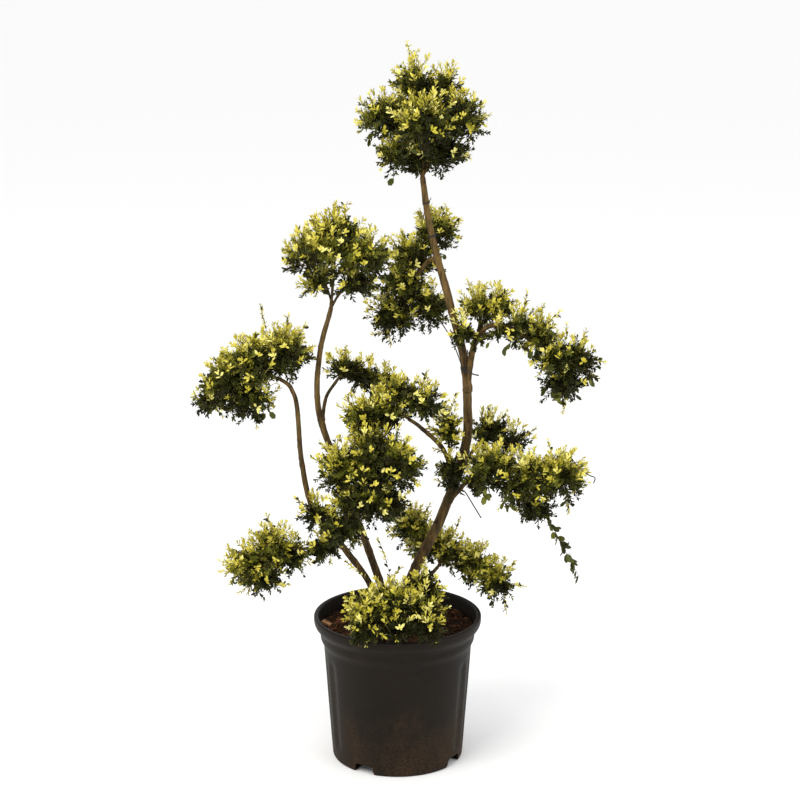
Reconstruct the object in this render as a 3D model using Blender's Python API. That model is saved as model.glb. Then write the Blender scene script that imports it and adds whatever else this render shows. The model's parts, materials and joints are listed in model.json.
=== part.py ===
"""A Japanese holly bonsai, cloud pruned on three stems, in a plastic nursery pot.

Units are metres and Z is up. The origin is the centre of the pot's flat underside, and the plant's
front faces -Y. Every limb is a tapering tube through a few points. Every mass of foliage is grown by
one seeded rule: a stem, branches to its pads, twigs out to the pads' skins, and leaves on the twigs.
"""

import math
import random
from dataclasses import dataclass

import bmesh
import bpy
from mathutils import Quaternion, Vector

UP = Vector((0, 0, 1))
GAP = 0.0003  # left between neighbouring solids

# The pot, from its underside up to its lip
POT_HEIGHT = 0.292
BASE_RADIUS = 0.1293
SHOULDER_RADIUS = 0.146
NECK_RADIUS = 0.152
RIM_RADIUS = 0.165
BAND_HEIGHT = 0.033
BAND_FACE = 0.014  # the band's upright part, above its rolled underside
NECK_HEIGHT = 0.028
CORNER = 0.006
LIP = 0.004
WALL = 0.0032
FLOOR = 0.003
POT_SEGMENTS = 40
SHOULDER_Z = POT_HEIGHT - BAND_HEIGHT - NECK_HEIGHT
NECK_Z = POT_HEIGHT - BAND_HEIGHT

# Grip flutes: three shallow grooves on each side, their angles taken from the front
FLUTE_ANGLES = (63.0, 90.0, 117.0)
FLUTE_DEPTH = 0.002
FLUTE_BOTTOM = 0.020
FLUTE_RUN_OUT = 0.012

# Four drain notches in the foot, each with a raised channel behind it
NOTCH_ANGLES = (-31.0, 59.0, 149.0, 239.0)
NOTCH_HEIGHT = 0.0105
NOTCH_HALF_FOOT = 0.015
NOTCH_HALF_TOP = 0.009
CHANNEL_INNER = 0.075

# Soil
SOIL_TOP = 0.265
SOIL_EDGE_DROP = 0.003
SOIL_FLAT_RADIUS = 0.09

# Limbs
RING_SPACING = 0.045
TAPER_POWER = 1.15
FLARE_LENGTH = 0.035
LIMB_CLEARANCE = 0.0015
LIMB_CUT = 1.2 * GAP  # cut away round a limb, a little over the gap because its sides are flat

# Foliage
LEAF_LENGTH = 0.040
LEAF_WIDTH = 0.5  # of its length
LEAF_THICKNESS = 0.075  # of its length
LEAF_SUNK = 0.0012  # behind its twig's centre line
LEAF_SPACING = 0.45  # of its length, between the middles of two leaves
BRANCH_SIDES = 5
BRANCH_RING_SPACING = 0.018
BRANCH_TIP = 0.0028
TWIG_FOOT = 0.0021
TWIG_TIP = 0.0013
SPRAY_AREA = 0.0062  # of a pad's skin for each spray
SPRAY_TIP = 0.94  # where a spray's twig ends, of its pad
SPRAY_STOPS = (0.004, 0.009)
SPRAY_REACH = 0.021  # how far a spray's leaves may stand out of their pad
SHOOT_LEAF = 0.72  # a shoot's leaf against the others
SHOOT_LEAF_SPACING = 0.032
SHOOT_LEAFY = 0.6  # of a shoot's length
CORE_SIZE = 0.87  # of its pad
CORE_LUMPS = 0.12
CORE_LEAST = 0.25
CORE_STEP = 0.06
FINE_CORE_RADIUS = 0.070
CELL_MARGIN = 0.06  # between the spaces of two masses
GOLDEN_ANGLE = math.radians(137.5)


@dataclass
class Limb:
    """A tapering stem or bough: where it starts, the points it runs through, and its end radii."""

    points: list
    foot: float
    tip: float
    parent: str = ""  # empty for a stem that stands in the soil
    at: float = 1.0  # how far along its parent it starts
    flare: float = 0.0  # widening of the foot, as a share of its radius
    sides: int = 6


@dataclass
class Mass:
    """One mass of foliage: the limb that bears it, its pads (centre and radii) and its long shoots."""

    limb: str
    at: float
    pads: list
    shoots: list
    foot: float = 0.004
    dense: bool = True


LIMBS = {
    "trunk": Limb(
        [(0.006, 0.006, SOIL_TOP), (0.028, 0.008, 0.365), (0.085, 0.02, 0.484),
         (0.131, 0.03, 0.62), (0.136, 0.03, 0.71), (0.129, 0.03, 0.80),
         (0.101, 0.03, 0.911), (0.064, 0.03, 1.05), (0.049, 0.03, 1.145)],
        foot=0.0112, tip=0.0057, flare=0.35, sides=10),
    "middle_stem": Limb(
        [(-0.022, -0.008, SOIL_TOP), (-0.030, -0.015, 0.345), (-0.062, -0.03, 0.45),
         (-0.107, -0.035, 0.586), (-0.150, -0.03, 0.71), (-0.149, -0.03, 0.82),
         (-0.126, -0.02, 0.915)],
        foot=0.0078, tip=0.0045, flare=0.25, sides=8),
    "left_stem": Limb(
        [(-0.041, -0.022, SOIL_TOP), (-0.050, -0.030, 0.355), (-0.100, -0.04, 0.436),
         (-0.160, -0.045, 0.515), (-0.184, -0.045, 0.618), (-0.192, -0.042, 0.728),
         (-0.204, -0.04, 0.765)],
        foot=0.0066, tip=0.0042, flare=0.25, sides=8),
    "left_arch_bough": Limb(
        [(-0.222, -0.04, 0.779), (-0.241, -0.04, 0.785)],
        foot=0.0042, tip=0.0034, parent="left_stem"),
    "right_arch_rise": Limb(
        [(0.143, 0.018, 0.815), (0.153, 0.01, 0.850)],
        foot=0.0062, tip=0.0052, parent="trunk", at=0.545, sides=8),
    "right_arch_span": Limb(
        [(0.168, 0.0, 0.871), (0.196, -0.01, 0.878), (0.250, -0.025, 0.857),
         (0.278, -0.032, 0.842)],
        foot=0.0052, tip=0.0036, parent="right_arch_rise", sides=7),
    "high_back_bough": Limb(
        [(0.062, 0.052, 0.993), (0.040, 0.078, 0.962)],
        foot=0.0042, tip=0.0034, parent="trunk", at=0.83),
    "centre_bough": Limb(
        [(0.090, -0.010, 0.630), (0.045, -0.045, 0.685), (0.022, -0.058, 0.706)],
        foot=0.0046, tip=0.0036, parent="trunk", at=0.335, sides=7),
    "centre_low_bough": Limb(
        [(-0.085, -0.070, 0.545), (-0.078, -0.088, 0.560)],
        foot=0.0036, tip=0.0030, parent="middle_stem", at=0.36),
    "shelf_bough": Limb(
        [(-0.138, 0.020, 0.728), (-0.118, 0.060, 0.752)],
        foot=0.0036, tip=0.0030, parent="middle_stem", at=0.66),
    "right_low_bough": Limb(
        [(0.135, -0.005, 0.566), (0.158, -0.028, 0.595)],
        foot=0.0050, tip=0.0040, parent="trunk", at=0.29, sides=7),
    "right_back_bough": Limb(
        [(0.143, 0.060, 0.600), (0.160, 0.080, 0.618)],
        foot=0.0042, tip=0.0034, parent="trunk", at=0.32),
    "right_foot_bough": Limb(
        [(0.060, 0.045, 0.352), (0.080, 0.082, 0.360)],
        foot=0.0046, tip=0.0036, parent="trunk", at=0.085),
    "left_foot_bough": Limb(
        [(-0.150, -0.030, 0.440), (-0.178, -0.015, 0.432)],
        foot=0.0038, tip=0.0032, parent="left_stem", at=0.41),
    "front_foot_bough": Limb(
        [(-0.016, -0.055, 0.312), (-0.008, -0.085, 0.330)],
        foot=0.0038, tip=0.0032, parent="middle_stem", at=0.055),
}

MASSES = {
    "top_ball": Mass(
        "trunk", 1.0,
        pads=[(0.044, 0.030, 1.269, 0.071, 0.078, 0.071),
              (-0.020, 0.020, 1.274, 0.056, 0.062, 0.050),
              (0.108, 0.020, 1.274, 0.058, 0.066, 0.056),
              (0.049, -0.045, 1.272, 0.059, 0.052, 0.057),
              (0.043, 0.100, 1.255, 0.061, 0.054, 0.061),
              (0.009, 0.030, 1.204, 0.051, 0.054, 0.043),
              (0.086, 0.030, 1.210, 0.051, 0.054, 0.043),
              (0.031, 0.020, 1.341, 0.043, 0.046, 0.045),
              (0.093, 0.030, 1.332, 0.036, 0.038, 0.037),
              (0.044, 0.030, 1.174, 0.032, 0.032, 0.022)],
        shoots=[(0.018, 0.010, 1.414), (0.038, 0.030, 1.398), (0.093, 0.030, 1.375),
                (0.111, 0.020, 1.365), (-0.079, 0.000, 1.271), (0.174, 0.000, 1.282),
                (-0.035, 0.010, 1.177), (0.140, 0.020, 1.195), (0.048, -0.090, 1.336),
                (0.045, 0.160, 1.286)],
        foot=0.0056),
    "left_ball": Mass(
        "middle_stem", 1.0,
        pads=[(-0.123, -0.020, 1.030, 0.075, 0.072, 0.056),
              (-0.172, -0.020, 1.022, 0.043, 0.050, 0.047),
              (-0.059, -0.020, 1.019, 0.045, 0.052, 0.051),
              (-0.116, -0.020, 1.065, 0.055, 0.056, 0.035),
              (-0.139, -0.020, 0.969, 0.045, 0.046, 0.037),
              (-0.082, -0.020, 0.967, 0.047, 0.046, 0.033)],
        shoots=[(-0.115, -0.020, 1.120), (-0.091, -0.020, 1.118), (-0.162, -0.020, 1.093),
                (-0.214, -0.020, 1.026), (-0.181, -0.020, 0.947), (-0.056, -0.010, 0.932),
                (-0.125, -0.100, 1.042), (-0.130, 0.062, 1.010)],
        foot=0.0044),
    "high_back": Mass(
        "high_back_bough", 1.0,
        pads=[(0.074, 0.100, 1.044, 0.046, 0.046, 0.046),
              (0.030, 0.105, 0.990, 0.054, 0.048, 0.053),
              (0.013, 0.100, 0.939, 0.056, 0.050, 0.057),
              (-0.011, 0.100, 0.878, 0.049, 0.046, 0.049),
              (0.061, 0.100, 0.894, 0.045, 0.043, 0.049)],
        shoots=[(0.093, 0.090, 1.095), (0.122, 0.090, 1.065), (-0.015, 0.090, 0.814),
                (-0.050, 0.090, 0.834), (-0.059, 0.090, 0.886), (0.098, 0.090, 0.862),
                (0.043, 0.100, 1.085)],
        foot=0.0034),
    "left_arch": Mass(
        "left_arch_bough", 1.0,
        pads=[(-0.215, -0.040, 0.839, 0.053, 0.054, 0.049),
              (-0.271, -0.040, 0.818, 0.063, 0.064, 0.052),
              (-0.326, -0.040, 0.782, 0.048, 0.056, 0.051),
              (-0.285, -0.040, 0.751, 0.059, 0.052, 0.045),
              (-0.362, -0.040, 0.745, 0.032, 0.034, 0.030)],
        shoots=[(-0.259, -0.040, 0.927), (-0.205, -0.040, 0.909), (-0.171, -0.040, 0.892),
                (-0.394, -0.040, 0.743), (-0.271, -0.040, 0.682), (-0.339, -0.040, 0.705),
                (-0.155, -0.040, 0.847)],
        foot=0.0033),
    "right_arch_inner": Mass(
        "right_arch_rise", 0.95,
        pads=[(0.158, 0.020, 0.907, 0.042, 0.042, 0.040),
              (0.194, 0.020, 0.915, 0.027, 0.036, 0.032),
              (0.127, 0.000, 0.865, 0.021, 0.030, 0.029)],
        shoots=[(0.133, 0.020, 0.962), (0.171, 0.020, 0.956), (0.212, 0.000, 0.947)],
        foot=0.0034),
    "right_arch_mid": Mass(
        "right_arch_span", 0.52,
        pads=[(0.229, -0.015, 0.882, 0.038, 0.044, 0.038),
              (0.273, -0.020, 0.866, 0.034, 0.042, 0.040),
              (0.199, -0.015, 0.868, 0.032, 0.034, 0.024)],
        shoots=[(0.247, -0.015, 0.948), (0.280, -0.020, 0.922), (0.312, -0.030, 0.911),
                (0.245, -0.030, 0.827)],
        foot=0.0030),
    "right_arch_tip": Mass(
        "right_arch_span", 1.0,
        pads=[(0.305, -0.036, 0.823, 0.048, 0.052, 0.045),
              (0.343, -0.040, 0.824, 0.038, 0.044, 0.044),
              (0.317, -0.040, 0.780, 0.046, 0.046, 0.033)],
        shoots=[(0.323, -0.040, 0.890), (0.361, -0.040, 0.878), (0.396, -0.040, 0.814),
                (0.384, -0.040, 0.780), (0.318, -0.040, 0.713), (0.264, -0.040, 0.782)],
        foot=0.0035),
    "shelf": Mass(
        "shelf_bough", 1.0,
        pads=[(-0.103, 0.090, 0.771, 0.039, 0.044, 0.030),
              (-0.064, 0.090, 0.757, 0.039, 0.044, 0.030),
              (-0.023, 0.085, 0.744, 0.033, 0.042, 0.028)],
        shoots=[(-0.099, 0.090, 0.816), (-0.050, 0.090, 0.790), (-0.138, 0.090, 0.790),
                (-0.099, 0.090, 0.709)],
        foot=0.0030),
    "centre_upper": Mass(
        "centre_bough", 1.0,
        pads=[(-0.031, -0.065, 0.728, 0.053, 0.050, 0.043),
              (0.009, -0.060, 0.760, 0.044, 0.046, 0.033),
              (0.052, -0.060, 0.746, 0.042, 0.046, 0.037),
              (-0.067, -0.070, 0.720, 0.038, 0.046, 0.039)],
        shoots=[(0.058, -0.060, 0.803), (0.100, -0.060, 0.744), (-0.099, -0.070, 0.753),
                (0.083, -0.060, 0.697)],
        foot=0.0035),
    "centre_column": Mass(
        "centre_low_bough", 1.0,
        pads=[(-0.063, -0.120, 0.566, 0.066, 0.054, 0.049),
              (-0.041, -0.110, 0.658, 0.064, 0.054, 0.059),
              (0.003, -0.110, 0.634, 0.047, 0.048, 0.051),
              (-0.105, -0.110, 0.628, 0.049, 0.048, 0.055),
              (-0.018, -0.120, 0.564, 0.040, 0.046, 0.037),
              (-0.104, -0.120, 0.515, 0.046, 0.046, 0.041)],
        shoots=[(0.035, -0.100, 0.663), (-0.148, -0.120, 0.682), (0.058, -0.120, 0.643),
                (0.044, -0.120, 0.602), (0.012, -0.120, 0.540), (-0.071, -0.120, 0.475)],
        foot=0.0029),
    "trunk_tuft": Mass(
        "centre_bough", 0.12,
        pads=[(0.097, -0.005, 0.674, 0.029, 0.030, 0.053)],
        shoots=[(0.115, 0.000, 0.744), (0.071, 0.000, 0.634), (0.095, 0.000, 0.720)],
        foot=0.0026, dense=False),
    "trunk_low_tuft": Mass(
        "trunk", 0.285,
        pads=[(0.105, -0.022, 0.598, 0.029, 0.032, 0.043),
              (0.148, -0.022, 0.576, 0.023, 0.026, 0.027)],
        shoots=[(0.073, 0.000, 0.571)],
        foot=0.0026, dense=False),
    "right_low": Mass(
        "right_low_bough", 1.0,
        pads=[(0.181, -0.050, 0.611, 0.058, 0.052, 0.052),
              (0.251, -0.050, 0.587, 0.061, 0.058, 0.060),
              (0.316, -0.050, 0.595, 0.048, 0.052, 0.052),
              (0.265, -0.050, 0.532, 0.040, 0.036, 0.028)],
        shoots=[(0.292, -0.050, 0.663), (0.365, -0.050, 0.617), (0.333, -0.050, 0.516),
                (0.198, -0.050, 0.522), (0.354, -0.060, 0.389)],
        foot=0.0038),
    "right_low_back": Mass(
        "right_back_bough", 1.0,
        pads=[(0.179, 0.100, 0.640, 0.044, 0.046, 0.043),
              (0.227, 0.100, 0.624, 0.042, 0.044, 0.037)],
        shoots=[(0.218, 0.100, 0.681), (0.276, 0.100, 0.645), (0.184, 0.100, 0.692)],
        foot=0.0032),
    "right_foot": Mass(
        "right_foot_bough", 1.0,
        pads=[(0.104, 0.120, 0.386, 0.044, 0.046, 0.040),
              (0.061, 0.120, 0.403, 0.044, 0.044, 0.038),
              (0.027, 0.120, 0.439, 0.044, 0.042, 0.040),
              (0.154, 0.120, 0.358, 0.044, 0.044, 0.040),
              (0.199, 0.115, 0.326, 0.046, 0.042, 0.040)],
        shoots=[(0.025, 0.120, 0.487), (0.065, 0.120, 0.485), (0.127, 0.120, 0.453),
                (0.174, 0.120, 0.405), (0.238, 0.100, 0.365), (0.261, 0.100, 0.312),
                (0.223, 0.100, 0.256)],
        foot=0.0034),
    "left_foot": Mass(
        "left_foot_bough", 1.0,
        pads=[(-0.242, 0.000, 0.430, 0.049, 0.054, 0.053),
              (-0.290, 0.000, 0.403, 0.047, 0.052, 0.044),
              (-0.265, 0.000, 0.368, 0.043, 0.046, 0.034),
              (-0.203, 0.000, 0.420, 0.031, 0.036, 0.037)],
        shoots=[(-0.259, 0.000, 0.500), (-0.294, 0.000, 0.467), (-0.343, 0.000, 0.399),
                (-0.334, 0.000, 0.354), (-0.297, 0.000, 0.333), (-0.218, 0.000, 0.349)],
        foot=0.0031),
    "left_stem_tuft": Mass(
        "left_stem", 0.5,
        pads=[(-0.154, -0.082, 0.528, 0.036, 0.034, 0.035)],
        shoots=[(-0.198, -0.070, 0.555), (-0.193, -0.070, 0.520)],
        foot=0.0026),
    "left_low_tuft": Mass(
        "left_stem", 0.36,
        pads=[(-0.145, -0.080, 0.459, 0.035, 0.032, 0.031)],
        shoots=[(-0.130, -0.080, 0.423)],
        foot=0.0026),
    "front_foot": Mass(
        "front_foot_bough", 1.0,
        pads=[(-0.007, -0.125, 0.363, 0.057, 0.050, 0.043),
              (-0.053, -0.135, 0.351, 0.046, 0.044, 0.035),
              (0.041, -0.125, 0.349, 0.050, 0.046, 0.037),
              (-0.064, -0.172, 0.324, 0.034, 0.026, 0.020),
              (0.062, -0.172, 0.328, 0.028, 0.024, 0.018),
              (0.051, -0.095, 0.383, 0.039, 0.034, 0.030)],
        shoots=[(-0.101, -0.080, 0.429), (-0.038, -0.060, 0.469), (0.009, -0.080, 0.419),
                (0.055, -0.080, 0.435), (0.101, -0.120, 0.349), (-0.062, -0.180, 0.293),
                (0.075, -0.180, 0.303), (-0.100, -0.150, 0.318), (-0.001, -0.185, 0.305)],
        foot=0.0031),
}


# ---------------------------------------------------------------- meshes and solids


def clear_scene():
    """Removes whatever the scene holds."""
    for item in list(bpy.data.objects):
        bpy.data.objects.remove(item, do_unlink=True)


def material(name, colour, roughness):
    """A plain Principled material."""
    made = bpy.data.materials.new(name)
    made.use_nodes = True
    shader = made.node_tree.nodes["Principled BSDF"]
    shader.inputs["Base Color"].default_value = (*colour, 1)
    shader.inputs["Roughness"].default_value = roughness
    shader.inputs["Metallic"].default_value = 0
    made.diffuse_color = (*colour, 1)
    return made


def object_of(name, shape):
    """An object that holds the bmesh's shape, linked to the scene."""
    bmesh.ops.recalc_face_normals(shape, faces=shape.faces)
    mesh = bpy.data.meshes.new(name)
    shape.to_mesh(mesh)
    shape.free()
    made = bpy.data.objects.new(name, mesh)
    bpy.context.scene.collection.objects.link(made)
    return made


def bridge(shape, lower, upper):
    """Joins two rings of as many points with quads."""
    for i in range(len(lower)):
        j = (i + 1) % len(lower)
        shape.faces.new((lower[i], lower[j], upper[j], upper[i]))


def remove(item):
    """Removes an object and its mesh."""
    mesh = item.data
    bpy.data.objects.remove(item, do_unlink=True)
    bpy.data.meshes.remove(mesh)


def box_size(points):
    """The diagonal of the box round some points."""
    low = [min(point[i] for point in points) for i in range(3)]
    high = [max(point[i] for point in points) for i in range(3)]
    return math.dist(low, high)


def apply_boolean(target, others, operation, solver="EXACT"):
    """Applies one Boolean with all the others at once, and removes them."""
    group = bpy.data.collections.new("operands")
    bpy.context.scene.collection.children.link(group)
    for other in others:
        bpy.context.scene.collection.objects.unlink(other)
        group.objects.link(other)
    modifier = target.modifiers.new(operation.lower(), "BOOLEAN")
    modifier.operation = operation
    modifier.operand_type = "COLLECTION"
    modifier.collection = group
    modifier.solver = solver
    result = evaluated_mesh(target)
    target.modifiers.clear()
    plain = target.data
    target.data = result
    bpy.data.meshes.remove(plain)
    for other in others:
        remove(other)
    bpy.data.collections.remove(group)


def evaluated_mesh(item):
    """A new mesh of the object with its modifiers applied."""
    graph = bpy.context.evaluated_depsgraph_get()
    return bpy.data.meshes.new_from_object(item.evaluated_get(graph))


def keep_largest_body(item):
    """Drops loose scraps and fills sealed hollows, leaving the outer skin of the largest body."""
    shape = bmesh.new()
    shape.from_mesh(item.data)
    shape.verts.ensure_lookup_table()
    waiting = set(shape.verts)
    bodies = []
    while waiting:
        body = {waiting.pop()}
        queue = list(body)
        while queue:
            point = queue.pop()
            for edge in point.link_edges:
                other = edge.other_vert(point)
                if other in waiting:
                    waiting.discard(other)
                    body.add(other)
                    queue.append(other)
        bodies.append(body)
    bodies.sort(key=lambda body: box_size([v.co for v in body]))
    bmesh.ops.delete(shape, geom=[v for body in bodies[:-1] for v in body], context="VERTS")
    shape.to_mesh(item.data)
    shape.free()


def finish(item, surface, smooth):
    """Gives a solid its material and shading."""
    item.data.materials.clear()
    item.data.materials.append(surface)
    if smooth:
        item.data.shade_smooth()
        item.data.set_sharp_from_angle(angle=math.radians(40))
    return item


# ---------------------------------------------------------------- pot and soil


def outer_profile():
    """The pot's outside as (radius, height), from its underside to the top of its lip."""
    return [
        (BASE_RADIUS - CORNER, 0),
        (wall_radius(CORNER), CORNER),
        (wall_radius(FLUTE_BOTTOM), FLUTE_BOTTOM),
        (wall_radius(FLUTE_BOTTOM + FLUTE_RUN_OUT), FLUTE_BOTTOM + FLUTE_RUN_OUT),
        (wall_radius(SHOULDER_Z - FLUTE_RUN_OUT), SHOULDER_Z - FLUTE_RUN_OUT),
        (SHOULDER_RADIUS, SHOULDER_Z),
        (NECK_RADIUS - 0.002, SHOULDER_Z + CORNER),
        (NECK_RADIUS, NECK_Z),
        (RIM_RADIUS - LIP, NECK_Z + CORNER),
        (RIM_RADIUS, POT_HEIGHT - BAND_FACE),
        (RIM_RADIUS, POT_HEIGHT - LIP),
        (RIM_RADIUS - LIP, POT_HEIGHT),
    ]


def wall_radius(height):
    """The radius of the pot's tapering outer wall at a height under the shoulder."""
    return BASE_RADIUS + (SHOULDER_RADIUS - BASE_RADIUS) * height / SHOULDER_Z


def inner_profile():
    """The pot's inside as (radius, height), from its lip down to its floor."""
    return [
        (RIM_RADIUS - 2 * LIP, POT_HEIGHT - LIP / 4),
        (NECK_RADIUS - WALL, NECK_Z),
        (SHOULDER_RADIUS - WALL, SHOULDER_Z),
        (wall_radius(FLOOR) - WALL, FLOOR),
    ]


def flute_depth(angle, height):
    """How far the outer wall is pressed in at an angle from the front, in degrees."""
    side = abs((angle + 180) % 360 - 180)
    in_groove = any(abs(side - groove) < 1 for groove in FLUTE_ANGLES)
    deep = FLUTE_BOTTOM + FLUTE_RUN_OUT / 2 < height < SHOULDER_Z - FLUTE_RUN_OUT / 2
    return FLUTE_DEPTH if in_groove and deep else 0.0


def lathe(profile, fluted_below):
    """A closed turned solid. Both ends of the profile are closed across the axis."""
    shape = bmesh.new()
    rings = []
    for row, (radius, height) in enumerate(profile):
        ring = []
        for i in range(POT_SEGMENTS):
            turn = 360 * i / POT_SEGMENTS
            reach = radius - (flute_depth(turn, height) if row < fluted_below else 0)
            ring.append(shape.verts.new(around(turn, reach, height)))
        rings.append(ring)
    for lower, upper in zip(rings, rings[1:]):
        bridge(shape, lower, upper)
    for ring in (rings[0], rings[-1]):
        shape.faces.new(ring)
    return shape


def around(angle, radius, height):
    """The point at an angle from the front (-Y), in degrees, towards +X."""
    turn = math.radians(angle)
    return Vector((radius * math.sin(turn), -radius * math.cos(turn), height))


def channel(angle, inner, outer, grow, foot):
    """A bar of trapezium section that runs out from the axis: a drain channel, or its housing."""
    shape = bmesh.new()
    along = around(angle, 1, 0)
    across = along.cross(UP)
    low, top = NOTCH_HALF_FOOT + grow, NOTCH_HALF_TOP + grow
    rings = []
    for reach in (inner, outer):
        ring = []
        for half, height in ((-low, foot), (low, foot), (top, NOTCH_HEIGHT + grow), (-top, NOTCH_HEIGHT + grow)):
            ring.append(shape.verts.new(along * reach + across * half + UP * height))
        rings.append(ring)
    bridge(shape, *rings)
    for ring in rings:
        shape.faces.new(ring)
    return shape


def make_pot(surface):
    """The nursery pot: a turned wall with grip flutes, a rolled rim and four drain channels."""
    outside = outer_profile()
    pot = object_of("pot", lathe(outside + inner_profile(), len(outside)))
    inside_wall = (wall_radius(FLOOR) - WALL + BASE_RADIUS) / 2
    housings = [
        object_of("housing", channel(angle, CHANNEL_INNER - WALL, inside_wall, WALL, FLOOR / 2))
        for angle in NOTCH_ANGLES
    ]
    apply_boolean(pot, housings, "UNION")
    channels = [
        object_of("channel", channel(angle, CHANNEL_INNER, RIM_RADIUS, 0, -FLOOR))
        for angle in NOTCH_ANGLES
    ]
    apply_boolean(pot, channels, "DIFFERENCE")
    return finish(pot, surface, True)


def inner_radius(height):
    """The pot's inner radius at a height."""
    rows = inner_profile()
    for (r1, z1), (r2, z2) in zip(rows, rows[1:]):
        if z2 <= height <= z1:
            return r2 + (r1 - r2) * (height - z2) / (z1 - z2)
    return rows[0][0]


def make_soil(surface):
    """The potting soil that fills the pot, clear of its walls and of its drain channels."""
    edge = SOIL_TOP - SOIL_EDGE_DROP
    clear = 1.5 * GAP
    profile = [
        (inner_radius(FLOOR) - clear, FLOOR + GAP),
        (inner_radius(SHOULDER_Z) - clear, SHOULDER_Z),
        (inner_radius(NECK_Z) - clear, NECK_Z),
        (inner_radius(edge) - clear, edge),
        (SOIL_FLAT_RADIUS, SOIL_TOP),
    ]
    soil = object_of("soil", lathe(profile, 0))
    housings = [
        object_of("housing", channel(angle, CHANNEL_INNER - WALL - GAP, RIM_RADIUS, WALL + GAP, FLOOR / 2))
        for angle in NOTCH_ANGLES
    ]
    apply_boolean(soil, housings, "DIFFERENCE")
    return finish(soil, surface, True)


# ---------------------------------------------------------------- limbs


def smooth_path(points, lead, spacing):
    """Points along a smooth curve through the given ones, which it reaches from the lead point."""
    row = [lead, *points, points[-1] * 2 - points[-2]]
    path = []
    for before, start, end, after in zip(row, row[1:], row[2:], row[3:]):
        steps = max(1, round((end - start).length / spacing))
        for i in range(steps):
            t = i / steps
            path.append(0.5 * (
                2 * start + (end - before) * t
                + (2 * before - 5 * start + 4 * end - after) * t * t
                + (3 * start - before - 3 * end + after) * t * t * t
            ))
    return path + [points[-1]]


def path_headings(path):
    """The direction of a path at each of its points."""
    ends = [path[0], *path, path[-1]]
    return [(after - before).normalized() for before, after in zip(ends, ends[2:])]


def nearest_on(start, end, point):
    """The point of a straight stretch that is nearest to a point."""
    step = end - start
    share = (point - start).dot(step) / step.length_squared
    return start + step * min(1.0, max(0.0, share))


def swept(path, headings, radii, sides):
    """A closed tube along a path, each of its rings square to the heading there."""
    shape = bmesh.new()
    side = headings[0].orthogonal().normalized()
    rings = []
    for i, (centre, heading, radius) in enumerate(zip(path, headings, radii)):
        if i:
            side.rotate(headings[i - 1].rotation_difference(heading))
        turns = [Quaternion(heading, math.tau * turn / sides) for turn in range(sides)]
        rings.append([shape.verts.new(centre + radius * (turn @ side)) for turn in turns])
    for lower, upper in zip(rings, rings[1:]):
        bridge(shape, lower, upper)
    for ring in (rings[0], rings[-1]):
        shape.faces.new(ring)
    return shape


class Route:
    """A limb's centre line with its radius and direction at every ring."""

    def __init__(self, limb, routes):
        given = [Vector(point) for point in limb.points]
        if limb.parent:
            parent = routes[limb.parent]
            start, heading = parent.place(limb.at)
            if limb.at == 1.0:
                start = start + heading * GAP
            given.insert(0, start)
            lead = start - heading * 0.02 if limb.at == 1.0 else 2 * start - given[1]
        else:
            heading = UP
            given[0] = given[0] + UP * GAP
            lead = given[0] - UP * 0.04
        self.path = smooth_path(given, lead, RING_SPACING if len(given) > 4 else RING_SPACING / 2)
        self.sides = limb.sides
        lengths = [0.0]
        for a, b in zip(self.path, self.path[1:]):
            lengths.append(lengths[-1] + (b - a).length)
        self.along = [length / lengths[-1] for length in lengths]
        self.radii = []
        for share, length in zip(self.along, lengths):
            radius = limb.foot + (limb.tip - limb.foot) * share**TAPER_POWER
            flare = 1 + limb.flare * max(0.0, 1 - length / FLARE_LENGTH) ** 2
            self.radii.append(radius * flare)
        self.headings = path_headings(self.path)
        if limb.at == 1.0:
            self.headings[0] = heading

    def place(self, share):
        """The point and heading at a share of the limb's length."""
        for i in range(len(self.path) - 1):
            if share <= self.along[i + 1]:
                t = (share - self.along[i]) / (self.along[i + 1] - self.along[i])
                return self.path[i].lerp(self.path[i + 1], t), self.headings[i + (t > 0.5)]
        return self.path[-1], self.headings[-1]

    def tube(self, grow=0.0):
        """The limb's solid, or one larger all round by grow."""
        path = list(self.path)
        path[0] = path[0] - self.headings[0] * grow
        path[-1] = path[-1] + self.headings[-1] * grow
        return swept(path, self.headings, [radius + grow for radius in self.radii], self.sides)

    def clearance(self, point):
        """How far a point is from the limb's skin."""
        return min(
            (point - nearest_on(a, b, point)).length - radius
            for a, b, radius in zip(self.path, self.path[1:], self.radii)
        )


def make_limbs(surface):
    """Every stem and bough, each cut clear of the limb that it leaves. Returns their routes."""
    routes = {}
    for name, limb in LIMBS.items():
        routes[name] = Route(limb, routes)
        item = object_of(name, routes[name].tube())
        if limb.parent and limb.at < 1.0:
            parent = object_of("parent", routes[limb.parent].tube(LIMB_CUT))
            apply_boolean(item, [parent], "DIFFERENCE")
            keep_largest_body(item)
        finish(item, surface, True)
    return routes


# ---------------------------------------------------------------- foliage


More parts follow.
